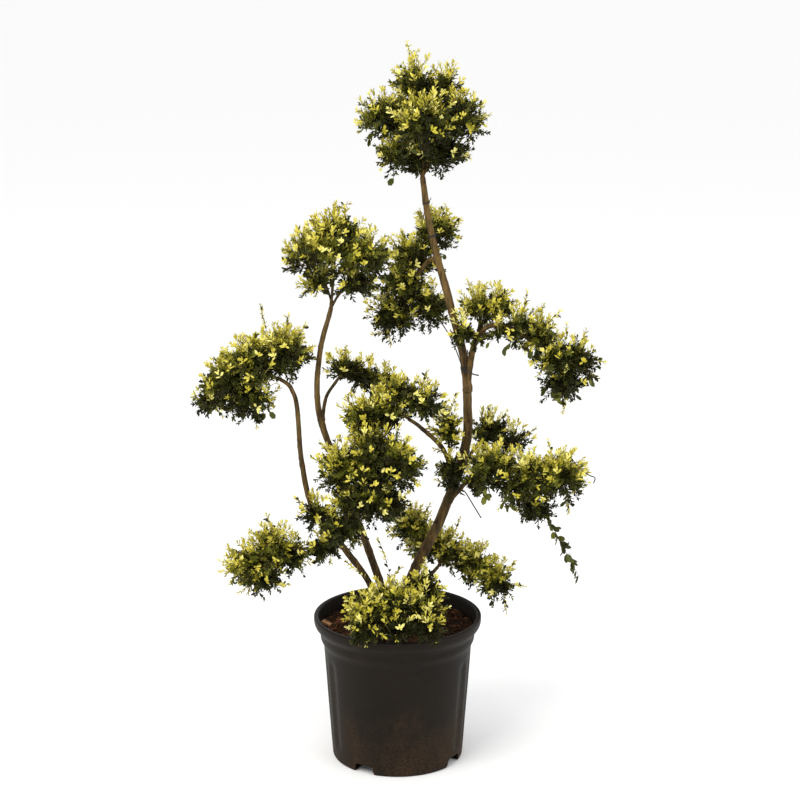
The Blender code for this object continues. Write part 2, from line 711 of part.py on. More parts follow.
class Foliage:
    """Grows one mass of foliage as a list of overlapping pieces, and then fuses them."""

    def __init__(self, name, mass, routes):
        self.name = name
        self.mass = mass
        self.routes = routes
        self.chance = random.Random(name)
        self.pieces = []
        self.spine = []  # the stem's and branches' straight stretches, which twigs leave
        self.leaves = []  # the middle of every leaf

    def grow(self):
        """The stem, the branches to the pads, their cores, and the sprays and shoots on them."""
        mass = self.mass
        start, heading = self.routes[mass.limb].place(mass.at)
        if mass.at == 1.0:
            start = start + heading * GAP
        self.branch(start, pad_centre(mass.pads[0]), mass.foot, heading if mass.at == 1.0 else None)
        for i, pad in enumerate(mass.pads[1:], 1):
            earlier = [pad_centre(other) for other in mass.pads[:i]]
            origin = min(earlier, key=lambda place: (place - pad_centre(pad)).length)
            self.branch(origin, pad_centre(pad), BRANCH_TIP, None)
        for pad in mass.pads:
            if mass.dense:
                self.core(pad)
        for pad in mass.pads:
            self.sprays(pad)
        for tip in mass.shoots:
            self.shoot(Vector(tip))

    def branch(self, start, end, foot, heading):
        """A stem or branch inside the mass, which may have to leave its start along a heading."""
        length = (end - start).length
        lead = end - heading * 2 * length if heading else 2 * start - end
        path = smooth_path([start, end], lead, BRANCH_RING_SPACING if heading else length)
        radii = [foot + (TWIG_FOOT - foot) * i / (len(path) - 1) for i in range(len(path))]
        headings = path_headings(path)
        if heading:
            headings[0] = heading
        self.pieces.append(swept(path, headings, radii, BRANCH_SIDES))
        self.spine += list(zip(path, path[1:]))

    def core(self, pad):
        """The lumpy heart of a pad, drawn in wherever it would leave the mass's own space."""
        shape = bmesh.new()
        fine = sum(pad[3:]) / 3 > FINE_CORE_RADIUS
        bmesh.ops.create_icosphere(shape, subdivisions=2 if fine else 1, radius=1)
        for point in shape.verts:
            out = pad_point(pad, point.co)
            size = CORE_SIZE * (1 + self.chance.uniform(-CORE_LUMPS, CORE_LUMPS))
            while size > CORE_LEAST and not self.free(pad_centre(pad) + out * size, 0):
                size -= CORE_STEP
            point.co = pad_centre(pad) + out * size
        self.pieces.append(shape)

    def sprays(self, pad):
        """Twigs with leaves from the spine to the pad's skin, spread evenly over it."""
        count = max(3, round(pad_area(pad) / SPRAY_AREA))
        turn = self.chance.uniform(0, math.tau)
        for i in range(count):
            rise = 1 - 2 * (i + 0.5) / count
            flat = math.sqrt(1 - rise * rise)
            angle = turn + i * GOLDEN_ANGLE
            out = Vector((flat * math.cos(angle), flat * math.sin(angle), rise))
            tip = pad_centre(pad) + pad_point(pad, out) * SPRAY_TIP
            if self.depth(tip) >= SPRAY_TIP - 0.02:
                self.twig(tip, SPRAY_STOPS, LEAF_LENGTH, SPRAY_REACH)

    def shoot(self, tip):
        """One long shoot, with leaves along its outer part and one that ends at the tip."""
        root = self.nearest_on_spine(tip)
        leaf_length = LEAF_LENGTH * SHOOT_LEAF
        end = tip - (tip - root).normalized() * (leaf_length - LEAF_SUNK)
        count = max(1, int((end - root).length * SHOOT_LEAFY / SHOOT_LEAF_SPACING))
        stops = [SHOOT_LEAF_SPACING * (i + 0.6) for i in range(count)]
        self.twig(end, stops, leaf_length, math.inf)

    def twig(self, tip, stops, leaf_length, limit):
        """A three-sided twig from the spine, with a leaf at its tip and at each stop back from it."""
        root = self.nearest_on_spine(tip)
        along = (tip - root).normalized()
        if not all(self.free(root.lerp(tip, t), limit) for t in (0.3, 0.5, 0.7, 0.85, 1.0)):
            return
        self.tipped_twig(root, tip, (along + UP * 0.2).normalized(), leaf_length, limit)
        side = along.orthogonal().normalized()
        side.rotate(Quaternion(along, self.chance.uniform(0, math.tau)))
        for stop in stops:
            side.rotate(Quaternion(along, GOLDEN_ANGLE))
            out = (along * 0.5 + side * 0.85 + UP * 0.2).normalized()
            self.leaf(tip - along * stop, out, leaf_length * self.chance.uniform(0.85, 1.05), limit)

    def tipped_twig(self, root, tip, along, length, limit):
        """A three-sided twig that runs on into the leaf at its tip, where that has room."""
        across, normal = self.leaf_plane(along)
        rings = [(root, TWIG_FOOT, TWIG_FOOT), (tip, TWIG_TIP, TWIG_TIP)]
        middle, end = tip + along * length / 2, tip + along * length
        half, thick = length * LEAF_WIDTH / 2, length * LEAF_THICKNESS
        leafy = self.has_room([middle + across * half, middle, middle - across * half, end], length, limit)
        if leafy:
            rings.append((middle, half, thick))
            self.leaves.append(middle)
        shape = bmesh.new()
        made = [
            [shape.verts.new(centre + offset) for offset in (across * wide, normal * high, -across * wide)]
            for centre, wide, high in rings
        ]
        for lower, upper in zip(made, made[1:]):
            bridge(shape, lower, upper)
        shape.faces.new(made[0])
        if leafy:
            point = shape.verts.new(end)
            for i in range(3):
                shape.faces.new((made[-1][i], made[-1][(i + 1) % 3], point))
        else:
            shape.faces.new(made[-1])
        self.pieces.append(shape)

    def leaf_plane(self, along):
        """The directions across a leaf and off its face, turned a little by chance."""
        across = along.cross(UP)
        across = (across if across.length > 0.2 else along.orthogonal()).normalized()
        across.rotate(Quaternion(along, self.chance.uniform(-0.6, 0.6)))
        return across, along.cross(across).normalized()

    def has_room(self, points, length, limit):
        """Whether a leaf stands free in the mass's own space, off its cores and its other leaves."""
        if not all(self.free(point, limit) for point in points):
            return False
        if self.mass.dense and any(self.depth(point) < CORE_SIZE + CORE_LUMPS / 2 for point in points):
            return False
        middle = points[1]
        return all((middle - other).length > length * LEAF_SPACING for other in self.leaves)

    def leaf(self, root, along, length, limit):
        """An eight-faced leaf, sunk into its twig, where it has room."""
        across, normal = self.leaf_plane(along)
        base = root - along * LEAF_SUNK
        middle = base + along * length * 0.52
        half = across * length * LEAF_WIDTH / 2
        thick = normal * length * LEAF_THICKNESS / 2
        end = base + along * length
        corners = [base, middle + half, middle + thick, middle - half, middle - thick, end]
        if not self.has_room([corners[1], middle, corners[3], end], length, limit):
            return
        shape = bmesh.new()
        made = [shape.verts.new(point) for point in corners]
        for i in range(4):
            shape.faces.new((made[0], made[1 + i], made[1 + (i + 1) % 4]))
            shape.faces.new((made[5], made[1 + (i + 1) % 4], made[1 + i]))
        self.pieces.append(shape)
        self.leaves.append(middle)

    def nearest_on_spine(self, point):
        """The point of the mass's stem and branches that is nearest to a point."""
        return min(
            (nearest_on(a, b, point) for a, b in self.spine), key=lambda place: (place - point).length
        )

    def depth(self, point):
        """How far out of the mass's own pads a point is, where 1 is their skin."""
        return min(reach(point, pad) for pad in self.mass.pads)

    def free(self, point, limit):
        """Whether a point is in this mass's own space and clear of limbs, pot and soil."""
        own = self.depth(point)
        size = min(sum(pad[3:]) / 3 for pad in self.mass.pads)
        if (own - 1) * size > limit:
            return False
        for name, other in MASSES.items():
            if name != self.name and min(reach(point, pad) for pad in other.pads) < own + CELL_MARGIN:
                return False
        radius = math.hypot(point.x, point.y)
        if point.z < POT_HEIGHT + LIMB_CLEARANCE and radius < RIM_RADIUS + 2 * LIMB_CLEARANCE:
            return False
        return all(route.clearance(point) > LIMB_CLEARANCE for route in self.routes.values())

    def fuse(self, surface):
        """Joins the pieces into one solid, cut clear of the limbs that run by.

        The union is by MANIFOLD, because EXACT loses whole pieces of some masses.
        """
        first, *others = [object_of(self.name, piece) for piece in self.pieces]
        apply_boolean(first, others, "UNION", "MANIFOLD")
        keep_largest_body(first)
        corners = [v.co for v in first.data.vertices]
        middle = sum(corners, Vector()) / len(corners)
        furthest = max((corner - middle).length for corner in corners)
        near = [
            object_of("limb", route.tube(LIMB_CUT))
            for route in self.routes.values()
            if route.clearance(middle) < furthest
        ]
        if near:
            apply_boolean(first, near, "DIFFERENCE")
            keep_largest_body(first)
        first.name = self.name
        first.data.name = self.name
        return finish(first, surface, False)


def pad_centre(pad):
    """The middle of a pad."""
    return Vector(pad[:3])


def pad_point(pad, direction):
    """A direction stretched by the pad's radii."""
    return Vector([share * radius for share, radius in zip(direction, pad[3:])])


def pad_area(pad):
    """The area of a pad's skin, by Thomsen's formula."""
    a, b, c = (radius**1.6 for radius in pad[3:])
    return 4 * math.pi * ((a * b + a * c + b * c) / 3) ** (1 / 1.6)


def reach(point, pad):
    """How far out of a pad's centre a point is, where 1 is the pad's skin."""
    parts = [(point[i] - pad[i]) / pad[3 + i] for i in range(3)]
    return math.sqrt(sum(part * part for part in parts))


def make_masses(routes, surface):
    """Every mass of foliage, each grown and fused on its own."""
    for name, mass in MASSES.items():
        foliage = Foliage(name, mass, routes)
        foliage.grow()
        foliage.fuse(surface)


def main():
    clear_scene()
    make_pot(material("pot_plastic", (0.035, 0.028, 0.022), 0.55))
    make_soil(material("soil", (0.05, 0.03, 0.018), 0.95))
    routes = make_limbs(material("bark", (0.16, 0.11, 0.07), 0.85))
    make_masses(routes, material("holly_foliage", (0.13, 0.19, 0.03), 0.5))


main()
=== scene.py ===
"""The looks of a potted, cloud-pruned Japanese holly, grown round its packed frame.

Units are metres, but for the places in the tables of limbs and clouds, Z is up and the plant's front
faces -Y. Every limb gets a skin of bark. Every cloud of foliage is grown again by the construction's
rule: branches to its pads, twigs out to the pads' skins, and leafy shoots at the twigs' ends. Nothing
random is left unseeded.
"""

import json
import math
import random
from dataclasses import dataclass

import bmesh
import bpy
import numpy as np
from bpy.props import FloatProperty, FloatVectorProperty, IntProperty, PointerProperty
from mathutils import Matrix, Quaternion, Vector, noise

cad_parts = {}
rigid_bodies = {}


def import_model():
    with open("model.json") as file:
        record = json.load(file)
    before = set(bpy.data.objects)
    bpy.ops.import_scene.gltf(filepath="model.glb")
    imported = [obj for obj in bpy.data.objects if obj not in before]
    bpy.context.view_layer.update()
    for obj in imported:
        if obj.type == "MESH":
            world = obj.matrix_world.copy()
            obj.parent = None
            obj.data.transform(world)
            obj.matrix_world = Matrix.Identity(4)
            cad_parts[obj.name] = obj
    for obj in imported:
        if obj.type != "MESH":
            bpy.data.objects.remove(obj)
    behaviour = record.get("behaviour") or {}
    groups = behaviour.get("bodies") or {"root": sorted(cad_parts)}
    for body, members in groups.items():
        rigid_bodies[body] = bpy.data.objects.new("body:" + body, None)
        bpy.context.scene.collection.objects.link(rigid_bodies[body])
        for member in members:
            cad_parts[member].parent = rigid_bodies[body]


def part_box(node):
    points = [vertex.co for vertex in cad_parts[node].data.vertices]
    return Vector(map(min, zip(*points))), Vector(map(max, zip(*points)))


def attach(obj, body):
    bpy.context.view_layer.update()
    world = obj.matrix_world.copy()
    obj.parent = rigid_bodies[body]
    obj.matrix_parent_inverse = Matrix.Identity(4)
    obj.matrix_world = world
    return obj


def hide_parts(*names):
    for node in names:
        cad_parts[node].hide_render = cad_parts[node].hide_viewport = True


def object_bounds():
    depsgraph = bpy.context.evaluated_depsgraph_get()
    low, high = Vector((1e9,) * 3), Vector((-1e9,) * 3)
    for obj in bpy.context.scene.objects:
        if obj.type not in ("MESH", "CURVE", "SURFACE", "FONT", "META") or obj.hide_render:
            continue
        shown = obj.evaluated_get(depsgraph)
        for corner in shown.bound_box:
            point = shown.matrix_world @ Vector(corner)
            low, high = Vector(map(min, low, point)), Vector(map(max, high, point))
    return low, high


bl_info = {
    "name": "Potted Holly Bonsai",
    "version": (1, 0, 0),
    "blender": (4, 5, 0),
    "location": "3D View > Sidebar > Holly",
    "description": "Dresses a packed, cloud-pruned holly in bark, leaves, soil and moulded plastic",
    "category": "Object",
}

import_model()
CAD_BOX = [list(corner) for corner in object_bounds()]
UP = Vector((0, 0, 1))
GOLDEN_ANGLE = math.radians(137.5)

# The packed pot and soil, which the visible ones follow
POT_LOW, POT_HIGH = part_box("pot")
POT_HEIGHT = POT_HIGH.z
RIM_RADIUS = (POT_HIGH.x - POT_LOW.x) / 2
SOIL_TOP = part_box("soil")[1].z
BOX_SPARE = 0.008  # how far a leaf may stand outside the packed box


@dataclass
class Limb:
    """A tapering stem or bough: the points it runs through, its end radii and where it starts.

    The points are given in millimetres and kept in metres. A stem's first one has no height: it is at
    the soil's top.
    """

    points: list
    foot: float
    tip: float
    parent: str = ""  # empty for a stem that stands in the soil
    at: float = 1.0  # how far along its parent it starts
    flare: float = 0.0  # widening of the foot, as a share of its radius

    def __post_init__(self):
        self.points = [[part / 1000 for part in point] for point in self.points]
        if not self.parent:
            self.points[0].append(SOIL_TOP)


@dataclass
class Mass:
    """One cloud of foliage on a limb, at a share of that limb's length.

    Its pads are rows of a centre and three radii, and its shoots the tips of its longest shoots, both
    given in millimetres and kept in metres.
    """

    limb: str
    at: float
    pads: list
    shoots: list
    gold: float = 0.5  # how much of it is yellow new growth
    open: float = 0.0  # how much of its inside is left bare
    thin: float = 0.62  # the share of sprays that its underside lacks
    neck: float = 0.020  # how far from its foot the branching is bare
    fork: float = 0.5  # within how far of its foot all its main branches start
    hanging: int = 0  # the large old leaves under it
    stars: float = 1.0  # how many pale sprigs it has, against other clouds
    spurs: tuple = ()  # leafy spurs straight on a limb: (limb, from, to, how many)

    def __post_init__(self):
        self.pads = [tuple(part / 1000 for part in pad) for pad in self.pads]
        self.shoots = [tuple(part / 1000 for part in tip) for tip in self.shoots]


LIMBS = {
    "trunk": Limb(
        [(6, 6), (28, 8, 365), (85, 20, 484), (131, 30, 620), (136, 30, 710), (129, 30, 800), (101, 30, 911),
         (64, 30, 1050), (49, 30, 1145)],
        foot=0.0112, tip=0.0057, flare=0.35),
    "middle_stem": Limb(
        [(-22, -8), (-30, -15, 345), (-62, -30, 450), (-107, -35, 586), (-150, -30, 710), (-149, -30, 820),
         (-126, -20, 915)],
        foot=0.0078, tip=0.0045, flare=0.25),
    "left_stem": Limb(
        [(-41, -22), (-50, -30, 355), (-100, -40, 436), (-160, -45, 515), (-184, -45, 618), (-192, -42, 728),
         (-204, -40, 765)],
        foot=0.0066, tip=0.0042, flare=0.25),
    "left_arch_bough": Limb(
        [(-222, -40, 779), (-241, -40, 785)], foot=0.0042, tip=0.0034, parent="left_stem"),
    "right_arch_rise": Limb(
        [(143, 18, 815), (153, 10, 850)], foot=0.0062, tip=0.0052, parent="trunk", at=0.545),
    "right_arch_span": Limb(
        [(168, 0, 871), (196, -10, 878), (250, -25, 857), (278, -32, 842)],
        foot=0.0052, tip=0.0036, parent="right_arch_rise"),
    "high_back_bough": Limb(
        [(62, 52, 993), (40, 78, 962)], foot=0.0042, tip=0.0034, parent="trunk", at=0.83),
    "centre_bough": Limb(
        [(90, -10, 630), (45, -45, 685), (22, -58, 706)], foot=0.0046, tip=0.0036, parent="trunk", at=0.335),
    "centre_low_bough": Limb(
        [(-85, -70, 545), (-78, -88, 560)], foot=0.0036, tip=0.0030, parent="middle_stem", at=0.36),
    "shelf_bough": Limb(
        [(-138, 20, 728), (-118, 60, 752)], foot=0.0036, tip=0.0030, parent="middle_stem", at=0.66),
    "right_low_bough": Limb(
        [(135, -5, 566), (158, -28, 595)], foot=0.0050, tip=0.0040, parent="trunk", at=0.29),
    "right_back_bough": Limb(
        [(143, 60, 600), (160, 80, 618)], foot=0.0042, tip=0.0034, parent="trunk", at=0.32),
    "right_foot_bough": Limb(
        [(60, 45, 352), (80, 82, 360)], foot=0.0046, tip=0.0036, parent="trunk", at=0.085),
    "left_foot_bough": Limb(
        [(-150, -30, 440), (-178, -15, 432)], foot=0.0038, tip=0.0032, parent="left_stem", at=0.41),
    "front_foot_bough": Limb(
        [(-16, -55, 312), (-8, -85, 330)], foot=0.0038, tip=0.0032, parent="middle_stem", at=0.055),
}

MASSES = {
    "top_ball": Mass(
        "trunk", 1.0,
        pads=[(44, 30, 1269, 71, 78, 71), (-20, 20, 1274, 56, 62, 50), (108, 20, 1274, 58, 66, 56),
              (49, -45, 1272, 59, 52, 57), (43, 100, 1255, 61, 54, 61), (9, 30, 1204, 51, 54, 43),
              (86, 30, 1210, 51, 54, 43), (31, 20, 1341, 43, 46, 45), (93, 30, 1332, 36, 38, 37),
              (44, 30, 1174, 32, 32, 22)],
        shoots=[(18, 10, 1414), (38, 30, 1398), (93, 30, 1375), (111, 20, 1365), (-79, 0, 1271),
                (174, 0, 1282), (-35, 10, 1177), (140, 20, 1195), (48, -90, 1336), (45, 160, 1286)],
        gold=0.34, neck=0.024, fork=0.012, hanging=5),
    "left_ball": Mass(
        "middle_stem", 1.0,
        pads=[(-123, -20, 1030, 75, 72, 56), (-172, -20, 1022, 43, 50, 47), (-59, -20, 1019, 45, 52, 51),
              (-116, -20, 1065, 55, 56, 35), (-139, -20, 969, 45, 46, 37), (-82, -20, 967, 47, 46, 33)],
        shoots=[(-115, -20, 1120), (-91, -20, 1118), (-162, -20, 1093), (-214, -20, 1026), (-181, -20, 947),
                (-56, -10, 932), (-125, -100, 1042), (-130, 62, 1010)],
        gold=0.53, neck=0.052, fork=0.012, hanging=9),
    "high_back": Mass(
        "high_back_bough", 1.0,
        pads=[(74, 100, 1044, 46, 46, 46), (30, 105, 990, 54, 48, 53), (13, 100, 939, 56, 50, 57),
              (-11, 100, 878, 49, 46, 49), (61, 100, 894, 45, 43, 49)],
        shoots=[(93, 90, 1095), (122, 90, 1065), (-15, 90, 814), (-50, 90, 834), (-59, 90, 886),
                (98, 90, 862), (43, 100, 1085)],
        gold=0.44, hanging=8),
    "left_arch": Mass(
        "left_arch_bough", 1.0,
        pads=[(-215, -40, 839, 53, 54, 49), (-271, -40, 818, 63, 64, 52), (-326, -40, 782, 48, 56, 51),
              (-285, -40, 751, 59, 52, 45), (-362, -40, 745, 32, 34, 30)],
        shoots=[(-259, -40, 927), (-205, -40, 909), (-171, -40, 892), (-394, -40, 743), (-271, -40, 682),
                (-339, -40, 705), (-155, -40, 847)],
        gold=0.45, thin=0.3, hanging=8, fork=0.02),
    "right_arch_inner": Mass(
        "right_arch_rise", 0.95,
        pads=[(158, 20, 907, 42, 42, 40), (194, 20, 915, 27, 36, 32), (127, 0, 865, 21, 30, 29)],
        shoots=[(133, 20, 962), (171, 20, 956), (212, 0, 947)],
        gold=0.62),
    "right_arch_mid": Mass(
        "right_arch_span", 0.52,
        pads=[(229, -15, 882, 38, 44, 38), (273, -20, 866, 34, 42, 40), (199, -15, 868, 32, 34, 24)],
        shoots=[(247, -15, 948), (280, -20, 922), (312, -30, 911), (245, -30, 827)],
        gold=0.40, hanging=14,
        spurs=(("right_arch_rise", 0.55, 1.0, 6), ("right_arch_span", 0.0, 0.62, 46))),
    "right_arch_tip": Mass(
        "right_arch_span", 1.0,
        pads=[(305, -36, 823, 48, 52, 45), (343, -40, 824, 38, 44, 44), (317, -40, 780, 46, 46, 33)],
        shoots=[(323, -40, 890), (361, -40, 878), (396, -40, 814), (384, -40, 780), (318, -40, 713),
                (264, -40, 782)],
        gold=0.26, hanging=26),
    "shelf": Mass(
        "shelf_bough", 1.0,
        pads=[(-103, 90, 771, 39, 44, 30), (-64, 90, 757, 39, 44, 30), (-23, 85, 744, 33, 42, 28)],
        shoots=[(-99, 90, 816), (-50, 90, 790), (-138, 90, 790), (-99, 90, 709)],
        gold=0.36, hanging=5),
    "centre_upper": Mass(
        "centre_bough", 1.0,
        pads=[(-31, -65, 728, 53, 50, 43), (9, -60, 760, 44, 46, 33), (52, -60, 746, 42, 46, 37),
              (-67, -70, 720, 38, 46, 39)],
        shoots=[(58, -60, 803), (100, -60, 744), (-99, -70, 753), (83, -60, 697)],
        gold=0.44, thin=0.2),
    "centre_column": Mass(
        "centre_low_bough", 1.0,
        pads=[(-63, -120, 566, 66, 54, 49), (-45, -115, 612, 60, 52, 42), (-41, -110, 658, 64, 54, 59),
              (3, -110, 634, 47, 48, 51), (-105, -110, 628, 49, 48, 55), (-18, -120, 564, 40, 46, 37),
              (-104, -120, 515, 46, 46, 41)],
        shoots=[(35, -100, 663), (-148, -120, 682), (58, -120, 643), (44, -120, 602), (12, -120, 540),
                (-71, -120, 475)],
        gold=0.36, open=-0.15, thin=0.3, stars=1.2),
    "trunk_tuft": Mass(
        "centre_bough", 0.12,
        pads=[(97, -5, 674, 29, 30, 53)],
        shoots=[(115, 0, 744), (71, 0, 634), (95, 0, 720)],
        gold=0.75, open=0.48, thin=0.9),
    "trunk_low_tuft": Mass(
        "trunk", 0.285,
        pads=[(105, -22, 598, 29, 32, 43), (148, -22, 576, 23, 26, 27)],
        shoots=[(73, 0, 571)],
        gold=0.15),
    "right_low": Mass(
        "right_low_bough", 1.0,
        pads=[(181, -50, 611, 58, 52, 52), (251, -50, 587, 61, 58, 60), (316, -50, 595, 48, 52, 52),
              (265, -50, 532, 40, 36, 28)],
        shoots=[(292, -50, 663), (365, -50, 617), (333, -50, 516), (198, -50, 522), (318, -56, 458),
                (354, -60, 389)],
        gold=0.44, thin=0.3, hanging=16),
    "right_low_back": Mass(
        "right_back_bough", 1.0,
        pads=[(179, 100, 640, 44, 46, 43), (227, 100, 624, 42, 44, 37)],
        shoots=[(218, 100, 681), (276, 100, 645), (184, 100, 692)],
        gold=0.22),
    "right_foot": Mass(
        "right_foot_bough", 1.0,
        pads=[(104, 120, 386, 44, 46, 40), (61, 120, 403, 44, 44, 38), (27, 120, 439, 44, 42, 40),
              (154, 120, 358, 44, 44, 40), (199, 115, 326, 46, 42, 40)],
        shoots=[(25, 120, 487), (65, 120, 485), (127, 120, 453), (174, 120, 405), (238, 100, 365),
                (261, 100, 312), (223, 100, 256)],
        gold=0.60, thin=0.3, hanging=6),
    "left_foot": Mass(
        "left_foot_bough", 1.0,
        pads=[(-242, 0, 430, 49, 54, 53), (-290, 0, 403, 47, 52, 44), (-265, 0, 368, 43, 46, 34),
              (-203, 0, 420, 31, 36, 37)],
        shoots=[(-259, 0, 500), (-294, 0, 467), (-343, 0, 399), (-334, 0, 354), (-297, 0, 333),
                (-218, 0, 349)],
        gold=0.54, thin=0.3),
    "left_stem_tuft": Mass(
        "left_stem", 0.5,
        pads=[(-154, -82, 528, 36, 34, 35)],
        shoots=[(-198, -70, 555), (-193, -70, 520)],
        gold=0.40),
    "left_low_tuft": Mass(
        "left_stem", 0.36,
        pads=[(-145, -80, 459, 35, 32, 31)],
        shoots=[(-130, -80, 423)],
        gold=0.36),
    "front_foot": Mass(
        "front_foot_bough", 1.0,
        pads=[(-7, -125, 363, 57, 50, 43), (-53, -135, 351, 46, 44, 35), (41, -125, 349, 50, 46, 37),
              (0, -160, 328, 48, 30, 24), (-64, -172, 324, 34, 26, 20), (62, -172, 328, 28, 24, 18),
              (51, -95, 383, 39, 34, 30)],
        shoots=[(-101, -80, 429), (-38, -60, 469), (9, -80, 419), (55, -80, 435), (101, -120, 349),
                (-62, -180, 293), (75, -180, 303), (-100, -150, 318), (-1, -185, 305)],
        gold=0.42, open=-0.25, thin=0.1, stars=2.0),
}


# ---------------------------------------------------------------- settings


def length_setting(name, description, default):
    """A length among the settings."""
    return FloatProperty(name=name, description=description, default=default, unit="LENGTH")


def colour_setting(name, description, default):
    """A colour among the settings."""
    return FloatVectorProperty(name=name, description=description, default=default, subtype="COLOR", size=3)


class HollyPotSettings(bpy.types.PropertyGroup):
    """Sizes and colours of the nursery pot."""

    neck_radius: length_setting("Neck radius", "Radius of the neck under the rim band", 0.152)
    shoulder_radius: length_setting("Shoulder radius", "Radius at the top of the tapering wall", 0.146)
    base_radius: length_setting("Base radius", "Radius of the tapering wall at the floor", 0.1293)
    wall: length_setting("Wall", "Thickness of the moulded wall", 0.0032)
    flute_depth: length_setting("Flute depth", "How deep the grip flutes are pressed in", 0.0030)
    colour: colour_setting("Plastic", "Colour of the clean plastic", (0.0074, 0.0051, 0.0032))
    dirt: colour_setting("Dirt", "Colour of the dried soil on it", (0.048, 0.027, 0.013))


class HollySoilSettings(bpy.types.PropertyGroup):
    """The potting soil's surface."""

    chips: IntProperty(name="Chips", description="Number of bark chips on the soil", default=1150, min=0)
    chip_size: length_setting("Chip size", "Length of an average chip", 0.0092)
    relief: length_setting("Relief", "Height of the lumps in the soil", 0.0045)
    colour: colour_setting("Soil", "Colour of the soil", (0.026, 0.0135, 0.0070))


class HollyBarkSettings(bpy.types.PropertyGroup):
    """The skin of the stems and boughs."""

    ring_spacing: length_setting("Ring spacing", "Distance between the rings of a limb's skin", 0.0028)
    relief: length_setting("Relief", "Depth of the bark's ridges", 0.0006)
    node_spacing: length_setting("Node spacing", "Distance between the swollen nodes of a limb", 0.055)
    colour: colour_setting("Bark", "Colour of the sunny bark", (0.143, 0.087, 0.027))
    shade: colour_setting("Fissures", "Colour of the fissures and old bark", (0.026, 0.0155, 0.007))


class HollyFoliageSettings(bpy.types.PropertyGroup):
    """The twigs, shoots and leaves."""

    spray_area: FloatProperty(
        name="Spray area", description="Area of a pad's skin for each spray", default=0.00042, unit="AREA")
    old_leaf: length_setting("Old leaf", "Length of a full-grown leaf", 0.0114)
    new_leaf: length_setting("New leaf", "Length of a leaf of this year's growth", 0.0118)
    shoot: length_setting("Shoot", "Length of an average leafy shoot", 0.024)
    sprigs: FloatProperty(
        name="Sprigs", description="Pale sprigs for each square metre of a cloud's skin",
        default=900.0, min=0)
    fringe: FloatProperty(
        name="Fringe", description="Long young shoots for each square metre of a golden cloud",
        default=900.0, min=0)
    leaf_spacing: length_setting("Leaf spacing", "Distance between leaves along a shoot", 0.0025)


class HollyStageSettings(bpy.types.PropertyGroup):
    """The camera and the soft light."""

    camera_place: FloatVectorProperty(
        name="Camera", description="Where the camera stands", subtype="XYZ", size=3,
        default=(0.0048, -4.255, 1.859))
    camera_tilt: FloatProperty(
        name="Tilt", description="How far the camera looks down", subtype="ANGLE",
        default=math.radians(14.88))
    lens: FloatProperty(name="Lens", description="Focal length in millimetres", default=102.83)
    key: FloatProperty(
        name="Key light", description="Power of the key light", subtype="POWER", default=110.0)


SETTINGS = {
    "holly_pot": HollyPotSettings,
    "holly_soil": HollySoilSettings,
    "holly_bark": HollyBarkSettings,
    "holly_foliage": HollyFoliageSettings,
    "holly_stage": HollyStageSettings,
}


# ---------------------------------------------------------------- meshes


def placed(name, data):
    """A new object in the scene."""
    made = bpy.data.objects.new(name, data)
    bpy.context.scene.collection.objects.link(made)
    return made


def mesh_object(name, points, faces, materials, slots=None):
    """A new smooth object from points and faces, with a material slot for each face."""
    mesh = bpy.data.meshes.new(name)
    mesh.from_pydata(points, [], faces)
    for surface in materials:
        mesh.materials.append(surface)
    if slots is not None:
        mesh.polygons.foreach_set("material_index", np.asarray(slots, np.int32))
    mesh.shade_smooth()
    return placed(name, mesh)


def bmesh_object(name, shape, materials, sharp=None):
    """A new object from a bmesh, shaded smooth up to the sharp angle in degrees."""
    bmesh.ops.recalc_face_normals(shape, faces=shape.faces)
    mesh = bpy.data.meshes.new(name)
    shape.to_mesh(mesh)
    shape.free()
    for surface in materials:
        mesh.materials.append(surface)
    mesh.shade_smooth()
    if sharp:
        mesh.set_sharp_from_angle(angle=math.radians(sharp))
    return placed(name, mesh)


def ride(piece, slot, *nodes):
    """The piece goes with the plant and stands for packed nodes; its slot is not used."""
    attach(piece, "root")
    if nodes:
        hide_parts(*nodes)


def tube_faces(rings, sides, base=0):
    """The faces between the rings of a tube whose points start at the base."""
    faces = []
    for low in range(base, base + (rings - 1) * sides, sides):
        for i in range(sides):
            j = (i + 1) % sides
            faces.append((low + i, low + j, low + sides + j, low + sides + i))
    return faces


def unit(rows):
    """Each row of an array scaled to length 1."""
    rows = np.asarray(rows, float)
    return rows / np.maximum(np.linalg.norm(rows, axis=-1, keepdims=True), 1e-9)


FINEST = 0.0009  # tubes thinner than this have three sides


class Strands:
    """Collects thin tapering tubes, to be joined in one mesh."""

    def __init__(self, sides):
        self.sides = sides
        self.count = 0
        self.points, self.faces, self.slots = [], [], []

    def add(self, path, radii, slot=0):
        """One tube along a path, with a radius for each of its points; its ends are open."""
        path = np.asarray(path, float)
        radii = np.asarray(radii, float)
        heading = unit(np.gradient(path, axis=0))
        guide = np.zeros(3)
        guide[np.argmin(np.abs(heading.mean(axis=0)))] = 1.0
        side = unit(np.cross(heading, guide))
        other = np.cross(heading, side)
        n = self.sides if radii.max() > FINEST else 3
        turns = np.arange(n) * math.tau / n
        rings = path[:, None] + radii[:, None, None] * (
            np.cos(turns)[None, :, None] * side[:, None] + np.sin(turns)[None, :, None] * other[:, None])
        faces = tube_faces(len(path), n, self.count)
        self.faces += faces
        self.slots += [slot] * len(faces)
        self.points.append(rings.reshape(-1, 3))
        self.count += len(path) * n

    def build(self, name, materials):
        """The joined mesh as an object."""
        return mesh_object(name, np.concatenate(self.points).tolist(), self.faces, materials, self.slots)


# ---------------------------------------------------------------- materials


